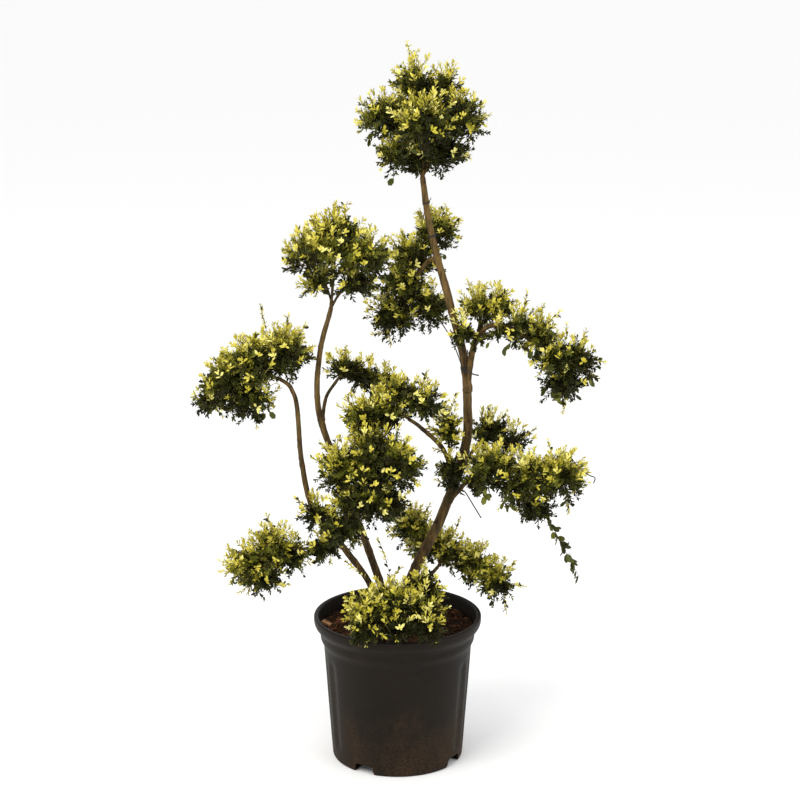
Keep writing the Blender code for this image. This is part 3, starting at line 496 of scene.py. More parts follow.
class Shader:
    """A node material under construction, with its Principled shader."""

    def __init__(self, name, roughness=0.6, specular=0.5):
        self.material = bpy.data.materials.new(name)
        self.material.use_nodes = True
        self.tree = self.material.node_tree
        self.inputs = self.tree.nodes["Principled BSDF"].inputs
        self.inputs["Roughness"].default_value = roughness
        self.inputs["Specular IOR Level"].default_value = specular

    def feed(self, socket, value):
        """Joins an output to a socket, or sets the socket to a number, a colour or a vector."""
        if isinstance(value, bpy.types.NodeSocket):
            self.tree.links.new(value, socket)
        else:
            socket.default_value = (*value, 1) if socket.type == "RGBA" else value

    def node(self, kind, **inputs):
        """A new node with its inputs fed; a space in an input's name is written as _."""
        made = self.tree.nodes.new("ShaderNode" + kind)
        for name, value in inputs.items():
            self.feed(made.inputs[name.replace("_", " ")], value)
        return made

    def place(self, stretch=(1, 1, 1)):
        """The object's own coordinates, stretched."""
        own = self.node("TexCoord").outputs["Object"]
        return self.node("Mapping", Vector=own, Scale=stretch).outputs["Vector"]

    def height(self):
        """The height above the ground."""
        own = self.node("TexCoord").outputs["Object"]
        return self.node("SeparateXYZ", Vector=own).outputs["Z"]

    def noise(self, scale, detail=4.0, rough=0.55, place=None):
        """A noise pattern's value."""
        made = self.node("TexNoise", Scale=scale, Detail=detail, Roughness=rough, Distortion=0.0,
                         Vector=place or self.place())
        return made.outputs["Fac"]

    def cells(self, scale, place):
        """How far each place is from the middle of its cell."""
        return self.node("TexVoronoi", Scale=scale, Vector=place).outputs["Distance"]

    def ramp(self, value, *stops):
        """A value turned into colours: stops are (place, colour)."""
        made = self.node("ValToRGB", Fac=value)
        while len(made.color_ramp.elements) < len(stops):
            made.color_ramp.elements.new(0.5)
        for element, (place, colour) in zip(made.color_ramp.elements, stops):
            element.position = place
            element.color = (*colour, 1)
        return made.outputs["Color"]

    def grey(self, value, low, high, out_low=0.0, out_high=1.0):
        """A value taken from one range to another, and kept within it."""
        made = self.node("MapRange", Value=value, From_Min=low, From_Max=high, To_Min=out_low,
                         To_Max=out_high)
        return made.outputs["Result"]

    def math(self, operation, first, second):
        """One sum of two values."""
        made = self.node("Math")
        made.operation = operation
        for socket, value in zip(made.inputs, (first, second)):
            self.feed(socket, value)
        return made.outputs[0]

    def mix(self, share, first, second):
        """Two colours mixed."""
        made = self.node("Mix")
        made.data_type = "RGBA"
        for index, value in ((0, share), (6, first), (7, second)):
            self.feed(made.inputs[index], value)
        return made.outputs[2]

    def colour(self, value):
        """Sets the base colour to a plain colour or a pattern."""
        self.feed(self.inputs["Base Color"], value)

    def roughness(self, value):
        """Sets the roughness to a pattern."""
        self.feed(self.inputs["Roughness"], value)

    def bump(self, value, distance, strength=1.0):
        """Adds a bump from a pattern."""
        made = self.node("Bump", Height=value, Distance=distance, Strength=strength)
        self.feed(self.inputs["Normal"], made.outputs["Normal"])


PLASTIC_FILM = (0.0140, 0.0094, 0.0053)


def plastic_material(pot):
    """Dull moulded plastic, scuffed, and caked with dried soil towards its foot."""
    shader = Shader("scuffed_pot_plastic", roughness=0.5, specular=0.10)
    streaks = shader.noise(34, 6, 0.70, shader.place((1, 1, 0.45)))
    blotches = shader.noise(7.5, 5, 0.62)
    grit = shader.noise(260, 3, 0.6)
    specks = shader.noise(190, 5, 0.75)
    low = shader.grey(shader.height(), 0.0, 0.20, 0.26, -0.06)
    amount = shader.math("MULTIPLY", streaks, 0.55)
    amount = shader.math("ADD", amount, shader.math("MULTIPLY", blotches, 0.60))
    amount = shader.math("ADD", amount, low)
    dirt = shader.grey(amount, 0.62, 0.98)
    dirt = shader.math("MULTIPLY", dirt, shader.grey(grit, 0.42, 0.58, 0.18, 1.0))
    dirt = shader.math("MAXIMUM", dirt, shader.grey(specks, 0.56, 0.74, 0.0, 0.36))
    film = shader.mix(shader.grey(blotches, 0.35, 0.75, 0.0, 0.5), pot.colour, PLASTIC_FILM)
    shader.colour(shader.mix(dirt, film, pot.dirt))
    dull = shader.math("ADD", dirt, shader.math("MULTIPLY", grit, 0.4))
    shader.roughness(shader.grey(dull, 0.0, 1.2, 0.40, 0.90))
    shader.bump(shader.math("ADD", grit, shader.math("MULTIPLY", dirt, 0.8)), 0.0004, 0.5)
    return shader.material


def scaled(colour, share):
    """A colour made darker or lighter."""
    return tuple(part * share for part in colour)


def soil_material(soil):
    """Dark crumbly potting soil."""
    shader = Shader("potting_soil", roughness=0.95, specular=0.06)
    crumbs = shader.noise(210, 5, 0.7)
    patches = shader.noise(35, 3, 0.5)
    dark = scaled(soil.colour, 0.35)
    base = shader.ramp(crumbs, (0.30, dark), (0.52, soil.colour), (0.75, scaled(soil.colour, 2.4)))
    shader.colour(shader.mix(shader.grey(patches, 0.4, 0.65, 0.0, 0.45), base, dark))
    shader.bump(crumbs, 0.002, 0.9)
    return shader.material


def chip_material(name, colour):
    """A flake of bark mulch with a fine grain."""
    shader = Shader(name, roughness=0.85, specular=0.08)
    grain = shader.noise(420, 4, 0.6, shader.place((1, 0.25, 1)))
    shader.colour(shader.ramp(grain, (0.35, scaled(colour, 0.45)), (0.60, colour)))
    shader.bump(grain, 0.0006, 0.7)
    return shader.material


BARK_PATCHES = (0.172, 0.108, 0.042)
BARK_MOSS = (0.062, 0.056, 0.016)
BARK_WARTS = (0.200, 0.145, 0.075)
SHADED_OLD_BARK = (0.026, 0.017, 0.010)  # painted shade near the soil, and older bark on the twigs
BARK_SHADE_HEIGHTS = (0.36, 0.78)  # the painted shade is full at the first height and gone at the second


def bark_material(bark, name="holly_bark", old=0.0):
    """Young olive-brown bark, streaked along the limb, with pale warts and a mossy tinge, and painted shade
    darkening it towards the soil.
    """
    shader = Shader(name, roughness=0.80, specular=0.12)
    streaks = shader.noise(130, 6, 0.65, shader.place((1, 1, 0.16)))
    patches = shader.noise(24, 4, 0.55, shader.place((1, 1, 0.5)))
    moss = shader.noise(48, 5, 0.6)
    warts = shader.cells(330, shader.place((1, 1, 0.7)))
    # painted shade: darker towards the soil, broken by patches
    low = shader.grey(shader.height(), *BARK_SHADE_HEIGHTS, 0.42 + old, old)
    base = shader.mix(shader.grey(streaks, 0.40, 0.60), bark.shade, bark.colour)
    base = shader.mix(shader.grey(patches, 0.50, 0.70, 0.0, 0.45), base, BARK_PATCHES)
    base = shader.mix(shader.grey(moss, 0.50, 0.72, 0.0, 0.50), base, BARK_MOSS)
    base = shader.mix(shader.grey(warts, 0.10, 0.20, 0.35, 0.0), base, BARK_WARTS)
    aged_and_shaded = shader.math("MULTIPLY", low, shader.grey(patches, 0.30, 0.62, 1.0, 0.55))
    shader.colour(shader.mix(aged_and_shaded, base, SHADED_OLD_BARK))
    shader.roughness(shader.grey(streaks, 0.3, 0.7, 0.62, 0.86))
    shader.bump(shader.math("SUBTRACT", streaks, shader.math("MULTIPLY", warts, 0.5)), 0.0012, 0.8)
    return shader.material


def plain_material(name, colour, roughness, specular=0.5):
    """One plain base colour, for what is dealt out leaf by leaf or is a plain small fitting."""
    shader = Shader(name, roughness, specular)
    shader.colour(colour)
    return shader.material


LEAF_TONES = (
    # name, colour, roughness, specular: from the shaded old leaves to the youngest growth
    ("leaf_deep_shade", (0.0185, 0.0190, 0.0050), 0.55, 0.12),
    ("leaf_dark_green", (0.0310, 0.0335, 0.0068), 0.50, 0.14),
    ("leaf_old_green", (0.0530, 0.0590, 0.0085), 0.48, 0.15),
    ("leaf_mid_green", (0.1180, 0.1240, 0.0130), 0.46, 0.18),
    ("leaf_lime", (0.3200, 0.2900, 0.0260), 0.46, 0.22),
    ("leaf_yellow_green", (0.5200, 0.4550, 0.0460), 0.48, 0.22),
    ("leaf_gold", (0.6800, 0.6000, 0.0950), 0.50, 0.22),
    ("leaf_pale_gold", (0.8000, 0.7400, 0.2300), 0.52, 0.22),
    ("leaf_withered", (0.2600, 0.1200, 0.0260), 0.60, 0.20),
)
WITHERED = len(LEAF_TONES) - 1


# ---------------------------------------------------------------- pot


def rounded(points, radii, steps=6):
    """An open outline with each of its inner corners rounded off."""
    outline = [points[0]]
    for before, corner, after, radius in zip(points, points[1:], points[2:], radii):
        corner = Vector(corner)
        start = corner.lerp(Vector(before), min(0.5, radius / (corner - Vector(before)).length))
        end = corner.lerp(Vector(after), min(0.5, radius / (corner - Vector(after)).length))
        for i in range(steps + 1):
            t = i / steps
            outline.append((1 - t) ** 2 * start + 2 * t * (1 - t) * corner + t * t * end)
    outline.append(points[-1])
    return [(point[0], point[1]) for point in outline]


POT_SEGMENTS = 180
BAND_FACE = 0.014  # the rim band's upright part
BAND_FOOT = 0.031  # how far under the lip the band's rolled underside meets the neck
NECK_FOOT = 0.047  # under the lip, like the shoulder, where the tapering wall starts
SHOULDER = 0.059
LIP_WIDTH = 0.0085
FLUTES = (63.0, 79.0, 101.0, 117.0)  # their middles, in degrees from the front
FLUTE_HALF = 6.5  # degrees
FLUTE_TOP = 0.016  # under the shoulder
FLUTE_FOOT = 0.024  # over the ground
NOTCH_ANGLES = (-31.0, 59.0, 149.0, 239.0)
NOTCH_HALF_WIDTH = 0.0250
NOTCH_HEIGHT = 0.0180
NOTCH_INNER = 0.075  # how far from the middle it starts
POT_SHARP = 42  # degrees; the edges sharper than this stay sharp


def wall_radius(pot, height):
    """The radius of the pot's tapering wall at a height."""
    top = POT_HEIGHT - SHOULDER
    return pot.base_radius + (pot.shoulder_radius - pot.base_radius) * height / top


def pot_outline(pot):
    """The turned outline as (radius, height): the outside up, over the lip and down the inside."""
    top = POT_HEIGHT
    outside = [
        (0.0, 0.0), (pot.base_radius - 0.0005, 0.0), (wall_radius(pot, 0.012), 0.012),
        (pot.shoulder_radius, top - SHOULDER), (pot.neck_radius, top - NECK_FOOT),
        (pot.neck_radius + 0.0008, top - BAND_FOOT), (RIM_RADIUS - 0.004, top - 0.0225),
        (RIM_RADIUS, top - BAND_FACE), (RIM_RADIUS, top), (RIM_RADIUS - LIP_WIDTH, top),
    ]
    inside = [
        (pot.neck_radius - pot.wall, top - BAND_FOOT), (pot.shoulder_radius - pot.wall, top - SHOULDER),
        (wall_radius(pot, pot.wall) - pot.wall, pot.wall), (0.0, pot.wall),
    ]
    radii = [0.0035, 0.02, 0.006, 0.005, 0.004, 0.006, 0.007, 0.0042, 0.004, 0.012, 0.02, 0.004]
    return rounded(outside + inside, radii)


def resampled(outline, spacing):
    """The outline with its long straight stretches cut to short ones."""
    made = [outline[0]]
    for (r1, z1), (r2, z2) in zip(outline, outline[1:]):
        steps = max(1, math.ceil(math.hypot(r2 - r1, z2 - z1) / spacing))
        made += [(r1 + (r2 - r1) * i / steps, z1 + (z2 - z1) * i / steps) for i in range(1, steps + 1)]
    return made


def flute_at(angle, height):
    """How deep the flutes are at an angle from the front and a height, as a share."""
    side = abs((angle + 180) % 360 - 180)
    off = min(abs(side - middle) for middle in FLUTES) / FLUTE_HALF
    if off >= 1:
        return 0.0
    top = POT_HEIGHT - SHOULDER - FLUTE_TOP - 0.010 * (1 - math.sqrt(1 - off * off))
    ends = min((top - height) / 0.012, (height - FLUTE_FOOT) / 0.016, 1.0)
    return math.cos(off * math.pi / 2) ** 1.2 * max(0.0, ends)


def around(angle, radius, height):
    """The point at an angle from the front (-Y), in degrees, towards +X."""
    turn = math.radians(angle)
    return Vector((radius * math.sin(turn), -radius * math.cos(turn), height))


def notch_cutter(angle):
    """A drain notch's space: a bar of rounded section that runs out through the pot's foot."""
    shape = bmesh.new()
    along = around(angle, 1, 0)
    across = along.cross(UP)
    section = rounded(
        [(-NOTCH_HALF_WIDTH, -0.01), (-NOTCH_HALF_WIDTH * 0.72, NOTCH_HEIGHT),
         (NOTCH_HALF_WIDTH * 0.72, NOTCH_HEIGHT), (NOTCH_HALF_WIDTH, -0.01)], [0.004, 0.004])
    rings = [
        [shape.verts.new(along * reach + across * off + UP * height) for off, height in section]
        for reach in (NOTCH_INNER, RIM_RADIUS)
    ]
    for i in range(len(section)):
        j = (i + 1) % len(section)
        shape.faces.new((rings[0][i], rings[0][j], rings[1][j], rings[1][i]))
    for ring in rings:
        shape.faces.new(ring)
    return bmesh_object("notch", shape, [])


def turned(outline, reach):
    """A bmesh turned from an outline whose ends lie on the axis; reach gives each point's radius."""
    shape = bmesh.new()
    turns = [360 * i / POT_SEGMENTS for i in range(POT_SEGMENTS)]
    rings = []
    for radius, height in outline:
        if radius < 1e-6:
            rings.append([shape.verts.new((0, 0, height))])
        else:
            places = [around(turn, reach(turn, radius, height), height) for turn in turns]
            rings.append([shape.verts.new(place) for place in places])
    for lower, upper in zip(rings, rings[1:]):
        for i in range(POT_SEGMENTS):
            j = (i + 1) % POT_SEGMENTS
            if len(lower) == 1:
                shape.faces.new((lower[0], upper[j], upper[i]))
            elif len(upper) == 1:
                shape.faces.new((lower[i], lower[j], upper[0]))
            else:
                shape.faces.new((lower[i], lower[j], upper[j], upper[i]))
    return shape


class HOLLY_OT_pot(bpy.types.Operator):
    """Moulds the nursery pot: wall, flutes, neck, rolled rim and drain notches"""

    bl_idname = "holly.pot"
    bl_label = "Pot"

    def execute(self, context):
        pot = context.scene.holly_pot

        def reach(turn, radius, height):
            outer = radius > wall_radius(pot, height) - pot.wall / 2
            sag = 0.0004 * noise.noise(around(turn, radius, height) * 9)
            return radius + sag - (pot.flute_depth * flute_at(turn, height) if outer else 0.0)

        shape = turned(resampled(pot_outline(pot), 0.005), reach)
        piece = bmesh_object("nursery_pot", shape, [plastic_material(pot)], POT_SHARP)
        for angle in NOTCH_ANGLES:
            cutter = notch_cutter(angle)
            modifier = piece.modifiers.new("notch", "BOOLEAN")
            modifier.operation = "DIFFERENCE"
            modifier.object = cutter
            cut = piece.evaluated_get(context.evaluated_depsgraph_get())
            mesh = bpy.data.meshes.new_from_object(cut)
            piece.modifiers.clear()
            piece.data = mesh
            bpy.data.objects.remove(cutter, do_unlink=True)
        piece.data.set_sharp_from_angle(angle=math.radians(POT_SHARP))
        ride(piece, "pot_plastic", "pot")
        return {"FINISHED"}


# ---------------------------------------------------------------- soil

CHIP_COLOURS = (
    ("chip_dark", (0.032, 0.015, 0.007)),
    ("chip_brown", (0.080, 0.034, 0.014)),
    ("chip_red", (0.120, 0.046, 0.019)),
    ("chip_pale", (0.400, 0.210, 0.105)),
)
CHIP_SHARES = (44, 36, 17, 3)  # of the chips, in the colours' order
CHIP_SHARP = 25  # degrees
SOIL_RINGS = 46
SOIL_SEGMENTS = 150
SOIL_SKIRT = 0.016  # how far its edge goes down inside the neck
SOIL_RISE = 0.006  # how far the visible soil lies over the packed one
SOIL_GAP = 0.0004  # between it and the pot
MOUND_HEIGHT = 0.004  # round the stems
EDGE_DROP = 0.004  # at the radius below
EDGE_RADIUS = 0.15
SOIL_CHOICE = 41  # seeds the scatter of the chips


def soil_height(x, y, relief):
    """The lumpy surface's height at a place."""
    lumps = noise.fractal(Vector((x * 38, y * 38, 0.3)), 0.7, 2.0, 4)
    mound = MOUND_HEIGHT * math.exp(-((x + 0.01) ** 2 + (y + 0.005) ** 2) / 0.003)
    edge = EDGE_DROP * (math.hypot(x, y) / EDGE_RADIUS) ** 4
    return SOIL_TOP + SOIL_RISE + mound - edge + relief * lumps


def chip_shape(shape, place, size, chance, slot):
    """Adds one irregular flake to the bmesh."""
    pole = (chance.gauss(0, 1), chance.gauss(0, 1), chance.gauss(0, 2.2))
    turn = Quaternion(pole, chance.uniform(0, math.tau))
    lengths = (size, size * chance.uniform(0.35, 0.7), size * chance.uniform(0.10, 0.28))
    corners = []
    for i in range(8):
        corner = Vector([(1 if i >> axis & 1 else -1) * lengths[axis] / 2 for axis in range(3)])
        corner *= chance.uniform(0.65, 1.1)
        corners.append(shape.verts.new(place + turn @ corner))
    for face in ((0, 2, 3, 1), (4, 5, 7, 6), (0, 1, 5, 4), (2, 6, 7, 3), (0, 4, 6, 2), (1, 3, 7, 5)):
        shape.faces.new([corners[i] for i in face]).material_index = slot


class HOLLY_OT_soil(bpy.types.Operator):
    """Fills the pot with crumbly soil and strews bark chips on it"""

    bl_idname = "holly.soil"
    bl_label = "Soil"

    def execute(self, context):
        soil = context.scene.holly_soil
        pot = context.scene.holly_pot
        edge = pot.neck_radius - pot.wall - SOIL_GAP
        points = [(0, 0, soil_height(0, 0, soil.relief))]
        for ring in range(1, SOIL_RINGS + 1):
            radius = edge * ring / SOIL_RINGS
            for i in range(SOIL_SEGMENTS):
                turn = math.tau * i / SOIL_SEGMENTS
                x, y = radius * math.cos(turn), radius * math.sin(turn)
                points.append((x, y, soil_height(x, y, soil.relief)))
        points += [(x, y, SOIL_TOP - SOIL_SKIRT) for x, y, _ in points[-SOIL_SEGMENTS:]]
        faces = []
        for i in range(SOIL_SEGMENTS):
            j = (i + 1) % SOIL_SEGMENTS
            faces.append((0, 1 + i, 1 + j))
            for inner in range(1, len(points) - SOIL_SEGMENTS, SOIL_SEGMENTS):
                outer = inner + SOIL_SEGMENTS
                faces.append((inner + i, outer + i, outer + j, inner + j))
        ride(mesh_object("potting_soil", points, faces, [soil_material(soil)]), "soil", "soil")

        chance = random.Random(SOIL_CHOICE)
        shape = bmesh.new()
        for _ in range(soil.chips):
            radius = (edge - soil.chip_size / 2) * math.sqrt(chance.random())
            turn = chance.uniform(0, math.tau)
            x, y = radius * math.cos(turn), radius * math.sin(turn)
            size = soil.chip_size * math.exp(chance.gauss(-0.15, 0.38))
            place = Vector((x, y, soil_height(x, y, soil.relief) + size * 0.06))
            slot = chance.choices(range(len(CHIP_COLOURS)), CHIP_SHARES)[0]
            chip_shape(shape, place, size, chance, slot)
        materials = [chip_material(name, colour) for name, colour in CHIP_COLOURS]
        ride(bmesh_object("bark_chips", shape, materials, CHIP_SHARP), "soil")
        return {"FINISHED"}


# ---------------------------------------------------------------- limbs

COARSE_SPACING = 0.045  # the construction's own ring spacing
TAPER_POWER = 1.15
FLARE_LENGTH = 0.035
LEAD_IN = 0.02  # how far back along its parent a bough that carries it on is led in
BARK_SIDES = 22
NODE_LENGTH = 0.0035  # of the swelling at a node
KNOT_SPACING = 0.045
KNOT_SIZES = (0.0022, 0.0042)
COLLAR = 0.55  # how much thicker a bough is at its foot, as a share
COLLAR_LENGTHS = (0.009, 0.007)  # the even part, inside the parent, and the tapering one
FULL_RELIEF = 0.006  # a limb thinner than this has less relief


def smooth_path(points, lead, spacing):
    """Points along a smooth curve through the given ones, which it reaches from the lead point."""
    row = [lead, *points, points[-1] * 2 - points[-2]]
    path = []
    for before, start, end, after in zip(row, row[1:], row[2:], row[3:]):
        steps = max(1, round((end - start).length / spacing))
        for i in range(steps):
            t = i / steps
            path.append(0.5 * (
                2 * start + (end - before) * t
                + (2 * before - 5 * start + 4 * end - after) * t * t
                + (3 * start - before - 3 * end + after) * t * t * t
            ))
    return path + [points[-1]]


class Route:
    """A limb's centre line with its radius and direction at every ring."""

    def __init__(self, limb, routes, spacing):
        given = [Vector(point) for point in limb.points]
        if limb.parent:
            start, heading = routes[limb.parent].place(limb.at)
            given.insert(0, start)
            lead = start - heading * LEAD_IN if limb.at == 1.0 else 2 * start - given[1]
        else:
            lead = given[0] - UP * 0.04
        self.limb = limb
        self.path = smooth_path(given, lead, spacing)
        self.lengths = [0.0]
        for a, b in zip(self.path, self.path[1:]):
            self.lengths.append(self.lengths[-1] + (b - a).length)
        self.along = [length / self.lengths[-1] for length in self.lengths]
        self.radii = []
        for share, length in zip(self.along, self.lengths):
            radius = limb.foot + (limb.tip - limb.foot) * share**TAPER_POWER
            flare = 1 + limb.flare * max(0.0, 1 - length / FLARE_LENGTH) ** 2
            self.radii.append(radius * flare)
        ends = [self.path[0], *self.path, self.path[-1]]
        self.headings = [(after - before).normalized() for before, after in zip(ends, ends[2:])]

    def place(self, share):
        """The point and heading at a share of the limb's length."""
        for i in range(len(self.path) - 1):
            if share <= self.along[i + 1]:
                t = (share - self.along[i]) / (self.along[i + 1] - self.along[i])
                return self.path[i].lerp(self.path[i + 1], t), self.headings[i + (t > 0.5)]
        return self.path[-1], self.headings[-1]


def make_routes(spacing):
    """The route of every limb."""
    routes = {}
    for name, limb in LIMBS.items():  # a parent comes before what grows on it
        routes[name] = Route(limb, routes, spacing)
    return routes


def bark_swell(length, turn, bark, seed, knots):
    """How far the bark stands out at a length along the limb and a turn round it."""
    round_about = Vector((math.cos(turn) * 2.2, math.sin(turn) * 2.2, length * 30 + seed))
    ridges = noise.fractal(round_about, 0.8, 2.1, 3)
    lumps = noise.noise(Vector((math.cos(turn) * 0.8, math.sin(turn) * 0.8, length * 14 + seed)))
    ring = length / bark.node_spacing + 0.3 * noise.noise(Vector((length * 9, seed, 0)))
    off = (ring - round(ring)) * bark.node_spacing
    node = math.exp(-(off / NODE_LENGTH) ** 2)
    swell = bark.relief * (1.1 * ridges + 1.5 * lumps + 1.0 * node)
    for place, side, size in knots:
        across = abs((turn - side + math.pi) % math.tau - math.pi) * 0.008
        gap = math.hypot(length - place, across) / size
        swell += size * (0.42 * math.exp(-gap * gap) - 0.30 * math.exp(-(gap * 2.2) ** 2))
    return swell


class HOLLY_OT_limbs(bpy.types.Operator):
    """Clothes every stem and bough in ridged bark, with nodes, knots and a collar at its foot"""

    bl_idname = "holly.limbs"
    bl_label = "Stems and boughs"

    def execute(self, context):
        bark = context.scene.holly_bark
        surface = bark_material(bark)
        routes = make_routes(bark.ring_spacing)
        even, taper = COLLAR_LENGTHS
        for seed, (name, route) in enumerate(routes.items()):
            chance = random.Random(seed + 7)
            total = route.lengths[-1]
            knots = [
                (chance.uniform(0.02, total), chance.uniform(0, math.tau), chance.uniform(*KNOT_SIZES))
                for _ in range(int(total / KNOT_SPACING))
            ]
            grows = bool(route.limb.parent) and route.limb.at < 1.0
            side = route.headings[0].orthogonal().normalized()
            rings = []
            for i, (centre, heading, radius) in enumerate(zip(route.path, route.headings, route.radii)):
                if i:
                    side.rotate(route.headings[i - 1].rotation_difference(heading))
                length = route.lengths[i]
                collar = COLLAR * math.exp(-(max(0.0, length - even) / taper) ** 2) if grows else 0.0
                ring = []
                for j in range(BARK_SIDES):
                    turn = math.tau * j / BARK_SIDES
                    swell = bark_swell(length, turn, bark, seed * 3.7, knots)
                    size = radius * (1 + collar) + swell * min(1.0, radius / FULL_RELIEF)
                    ring.append(centre + size * (Quaternion(heading, turn) @ side))
                rings.append(ring)
            points = [point for ring in rings for point in ring]
            ends = [list(range(BARK_SIDES))[::-1], list(range(len(points) - BARK_SIDES, len(points)))]
            faces = tube_faces(len(rings), BARK_SIDES) + ends
            ride(mesh_object(name + "_bark", points, faces, [surface]), "bark", name)
        return {"FINISHED"}


# ---------------------------------------------------------------- foliage

# How the clouds branch
CELL_MARGIN = 0.03  # between the spaces of two clouds
LIMB_CLEARANCE = 0.0015
POT_CLEARANCE = 0.002
NODE_SPACING = 0.010
TURN_COST = 1.1  # how much a twig avoids starting backwards
TRAVEL_COST = 0.12  # how much it avoids a roundabout way
PIPE_POWER = 0.43  # a limb's radius against the number of tips it bears
THINNEST = 0.00055
OUTGROWTH_RADIUS = 0.0024  # of a cloud's own limb where it starts part of the way along another
CLOSEST_NODE = 0.006  # no twig starts closer to its target than this
TWIG_SIDES = 4
LEAFY_TWIG = 0.0013  # a twig thinner than this bears single leaves
SHOOT_RADII = (0.0007, 0.0006, 0.0004)  # from the foot to the tip
SPRIG_RADII = (0.0008, 0.0007, 0.0004)
SPUR_RADII = (0.0009, 0.0005)
# from the painted deep shade tone up to mid green, for spurs mostly under a bough
SPUR_TONES = (0, 1, 1, 2, 3)
HANGING_TONES = (1, 2, 3)

# Where the sprays are
SKIN_INSET = (0.70, 1.35)  # how far inside the skin an outer spray's foot lies, in shoot lengths
INNER_INSET = (1.4, 3.2)
INNER_SHARE = 0.38  # inner sprays for each one at the skin
LEAST_DEPTH = 0.12  # how close to its pad's middle a spray may be, as a share
UNDERSIDE = 0.65  # how much less of that inset there is under a pad, where no shoot turns down
SHOOT_RISE = 0.45  # how far under its place a spray's foot is, in shoot lengths, as its shoots turn up
OLD_INSET = 0.0045  # how much further in the old sprays end than the young ones
GAP_SCALE = 33.0  # how fine the pattern of gaps in the foliage is
GAP_LEVEL = -0.34  # the pattern's values under this are left bare
SIDE_SHOOTS = 2
SIDE_LENGTH = 0.72  # of the side shoots, as a share of the middle one's
YOUNG_LENGTH = 1.15
INNER_LENGTH = 0.8

# Where the foliage is young, and the painted light and shade of its tones
# the sun's way: young growth faces it, and the tones are painted lighter towards it and darker away from it
SUN = unit([-0.30, -0.10, 0.9])
PATCH_SCALE = 36.0  # how fine the patches of young growth are
EDGE_PAINTED_LIGHT = 0.44  # painted light: how much lighter the tones are where a cloud faces left and right, with painted shade where it faces the front
YOUNG_LEVEL = 0.80
YOUNG_STEPS = (0.06, 0.20, 0.42)  # over that level, for the yellower and the paler tones
# steps through the old tones, from the painted deep shade up to mid green
OLD_STEPS = (0.16, 0.40, 0.62)
OLDEST_YOUNG = 4  # the tones from this one on are young growth

# The leaves
LEAF_OUTLINE = (
    # along the leaf, across it as a share of its width, and how far it bends down
    (0.0, 0.0, 0.0), (0.32, -0.42, 0.010), (0.74, -0.44, 0.060), (1.0, 0.0, 0.130), (0.74, 0.44, 0.060),
    (0.32, 0.42, 0.010),
)
LEAF_HEART = (0.52, 0.0, 0.105)  # the sunken middle of the cupped leaf
LEAF_WIDTH = 0.48
YOUNG_WIDTH = 0.40
BROAD_WIDTH = 0.60  # of the large hanging leaves
LARGE_LEAF = 0.0140  # an old leaf longer than this has the broad outline
HANGING_LEAF = 0.0195
YOUNG_SPACING = 1.3  # of the leaves on a young shoot, as a share of an old one's
WITHERED_SHARE = 0.002

# The shoots that stand out
SPRIG_INSET = (0.45, 0.85)  # how far inside the skin a sprig's foot lies, in shoot lengths
FRINGE_INSET = (1.3, 2.1)
SPRIG_LOWEST = -0.55  # how far down a place may face and still bear a pale sprig
SPRIG_LEAF = 1.25  # a sprig's leaves, as a share of other young ones
FRINGE_LEAF = 0.92
UPRIGHT_LEAF = 0.9
PALE_TONES = (5, 6, 7)
SPRIG_SHARES = (0.3, 0.45, 0.25)  # of the pale tones
FRINGE_SHARES = (0.35, 0.45, 0.20)
UPRIGHT_NODES = 5  # how many nodes from its tip a long shoot has leaves
LONG_DROP = 0.06  # a shoot that ends this far under its start is an old, hanging one
TRAILING_SHARE = 0.95  # how much of a hanging twig has leaves


def nearest_pads(points, pads):
    """How far out of the nearest pad each point is, and which pad that is."""
    table = np.array(pads, float)
    parts = (points[:, None] - table[None, :, :3]) / table[None, :, 3:]
    reach = np.linalg.norm(parts, axis=2)
    return reach.min(axis=1), reach.argmin(axis=1)


def facing(points, pad):
    """Which way a pad's skin faces at each point."""
    return unit((points - np.array(pad[:3])) / np.array(pad[3:]) ** 2)


class Surroundings:
    """The limbs, pot and other clouds that a cloud has to keep clear of."""

    def __init__(self, routes):
        pieces = [
            (start, end - start, radius) for route in routes.values()
            for start, end, radius in zip(route.path, route.path[1:], route.radii)
        ]
        self.starts, self.steps, self.radii = (np.array(part) for part in zip(*pieces))
        self.squares = np.maximum((self.steps**2).sum(axis=1), 1e-12)

    def clearance(self, points):
        """How far each point is from the skin of the nearest limb."""
        away = points[:, None] - self.starts[None]
        share = np.clip((away * self.steps[None]).sum(axis=2) / self.squares[None], 0, 1)
        gap = np.linalg.norm(away - share[..., None] * self.steps[None], axis=2)
        return (gap - self.radii[None]).min(axis=1)

    def open_air(self, points):
        """Which points are clear of the pot and the soil, and inside the packed box."""
        radius = np.hypot(points[:, 0], points[:, 1])
        over = (points[:, 2] > POT_HEIGHT + POT_CLEARANCE) | (radius > RIM_RADIUS + POT_CLEARANCE)
        low, high = np.array(CAD_BOX[0]) - BOX_SPARE, np.array(CAD_BOX[1]) + BOX_SPARE
        return over & (points > low).all(axis=1) & (points < high).all(axis=1)

    def blocks(self, point):
        """Whether a shoot can't end at a point."""
        return not self.open_air(point[None])[0] or self.clearance(point[None])[0] < LIMB_CLEARANCE

    def free(self, points, name):
        """Which points are in a cloud's own space and clear of everything else."""
        own, _ = nearest_pads(points, MASSES[name].pads)
        keep = self.open_air(points) & (self.clearance(points) > LIMB_CLEARANCE)
        for other, mass in MASSES.items():
            if other != name:
                keep &= nearest_pads(points, mass.pads)[0] > own + CELL_MARGIN
        return keep


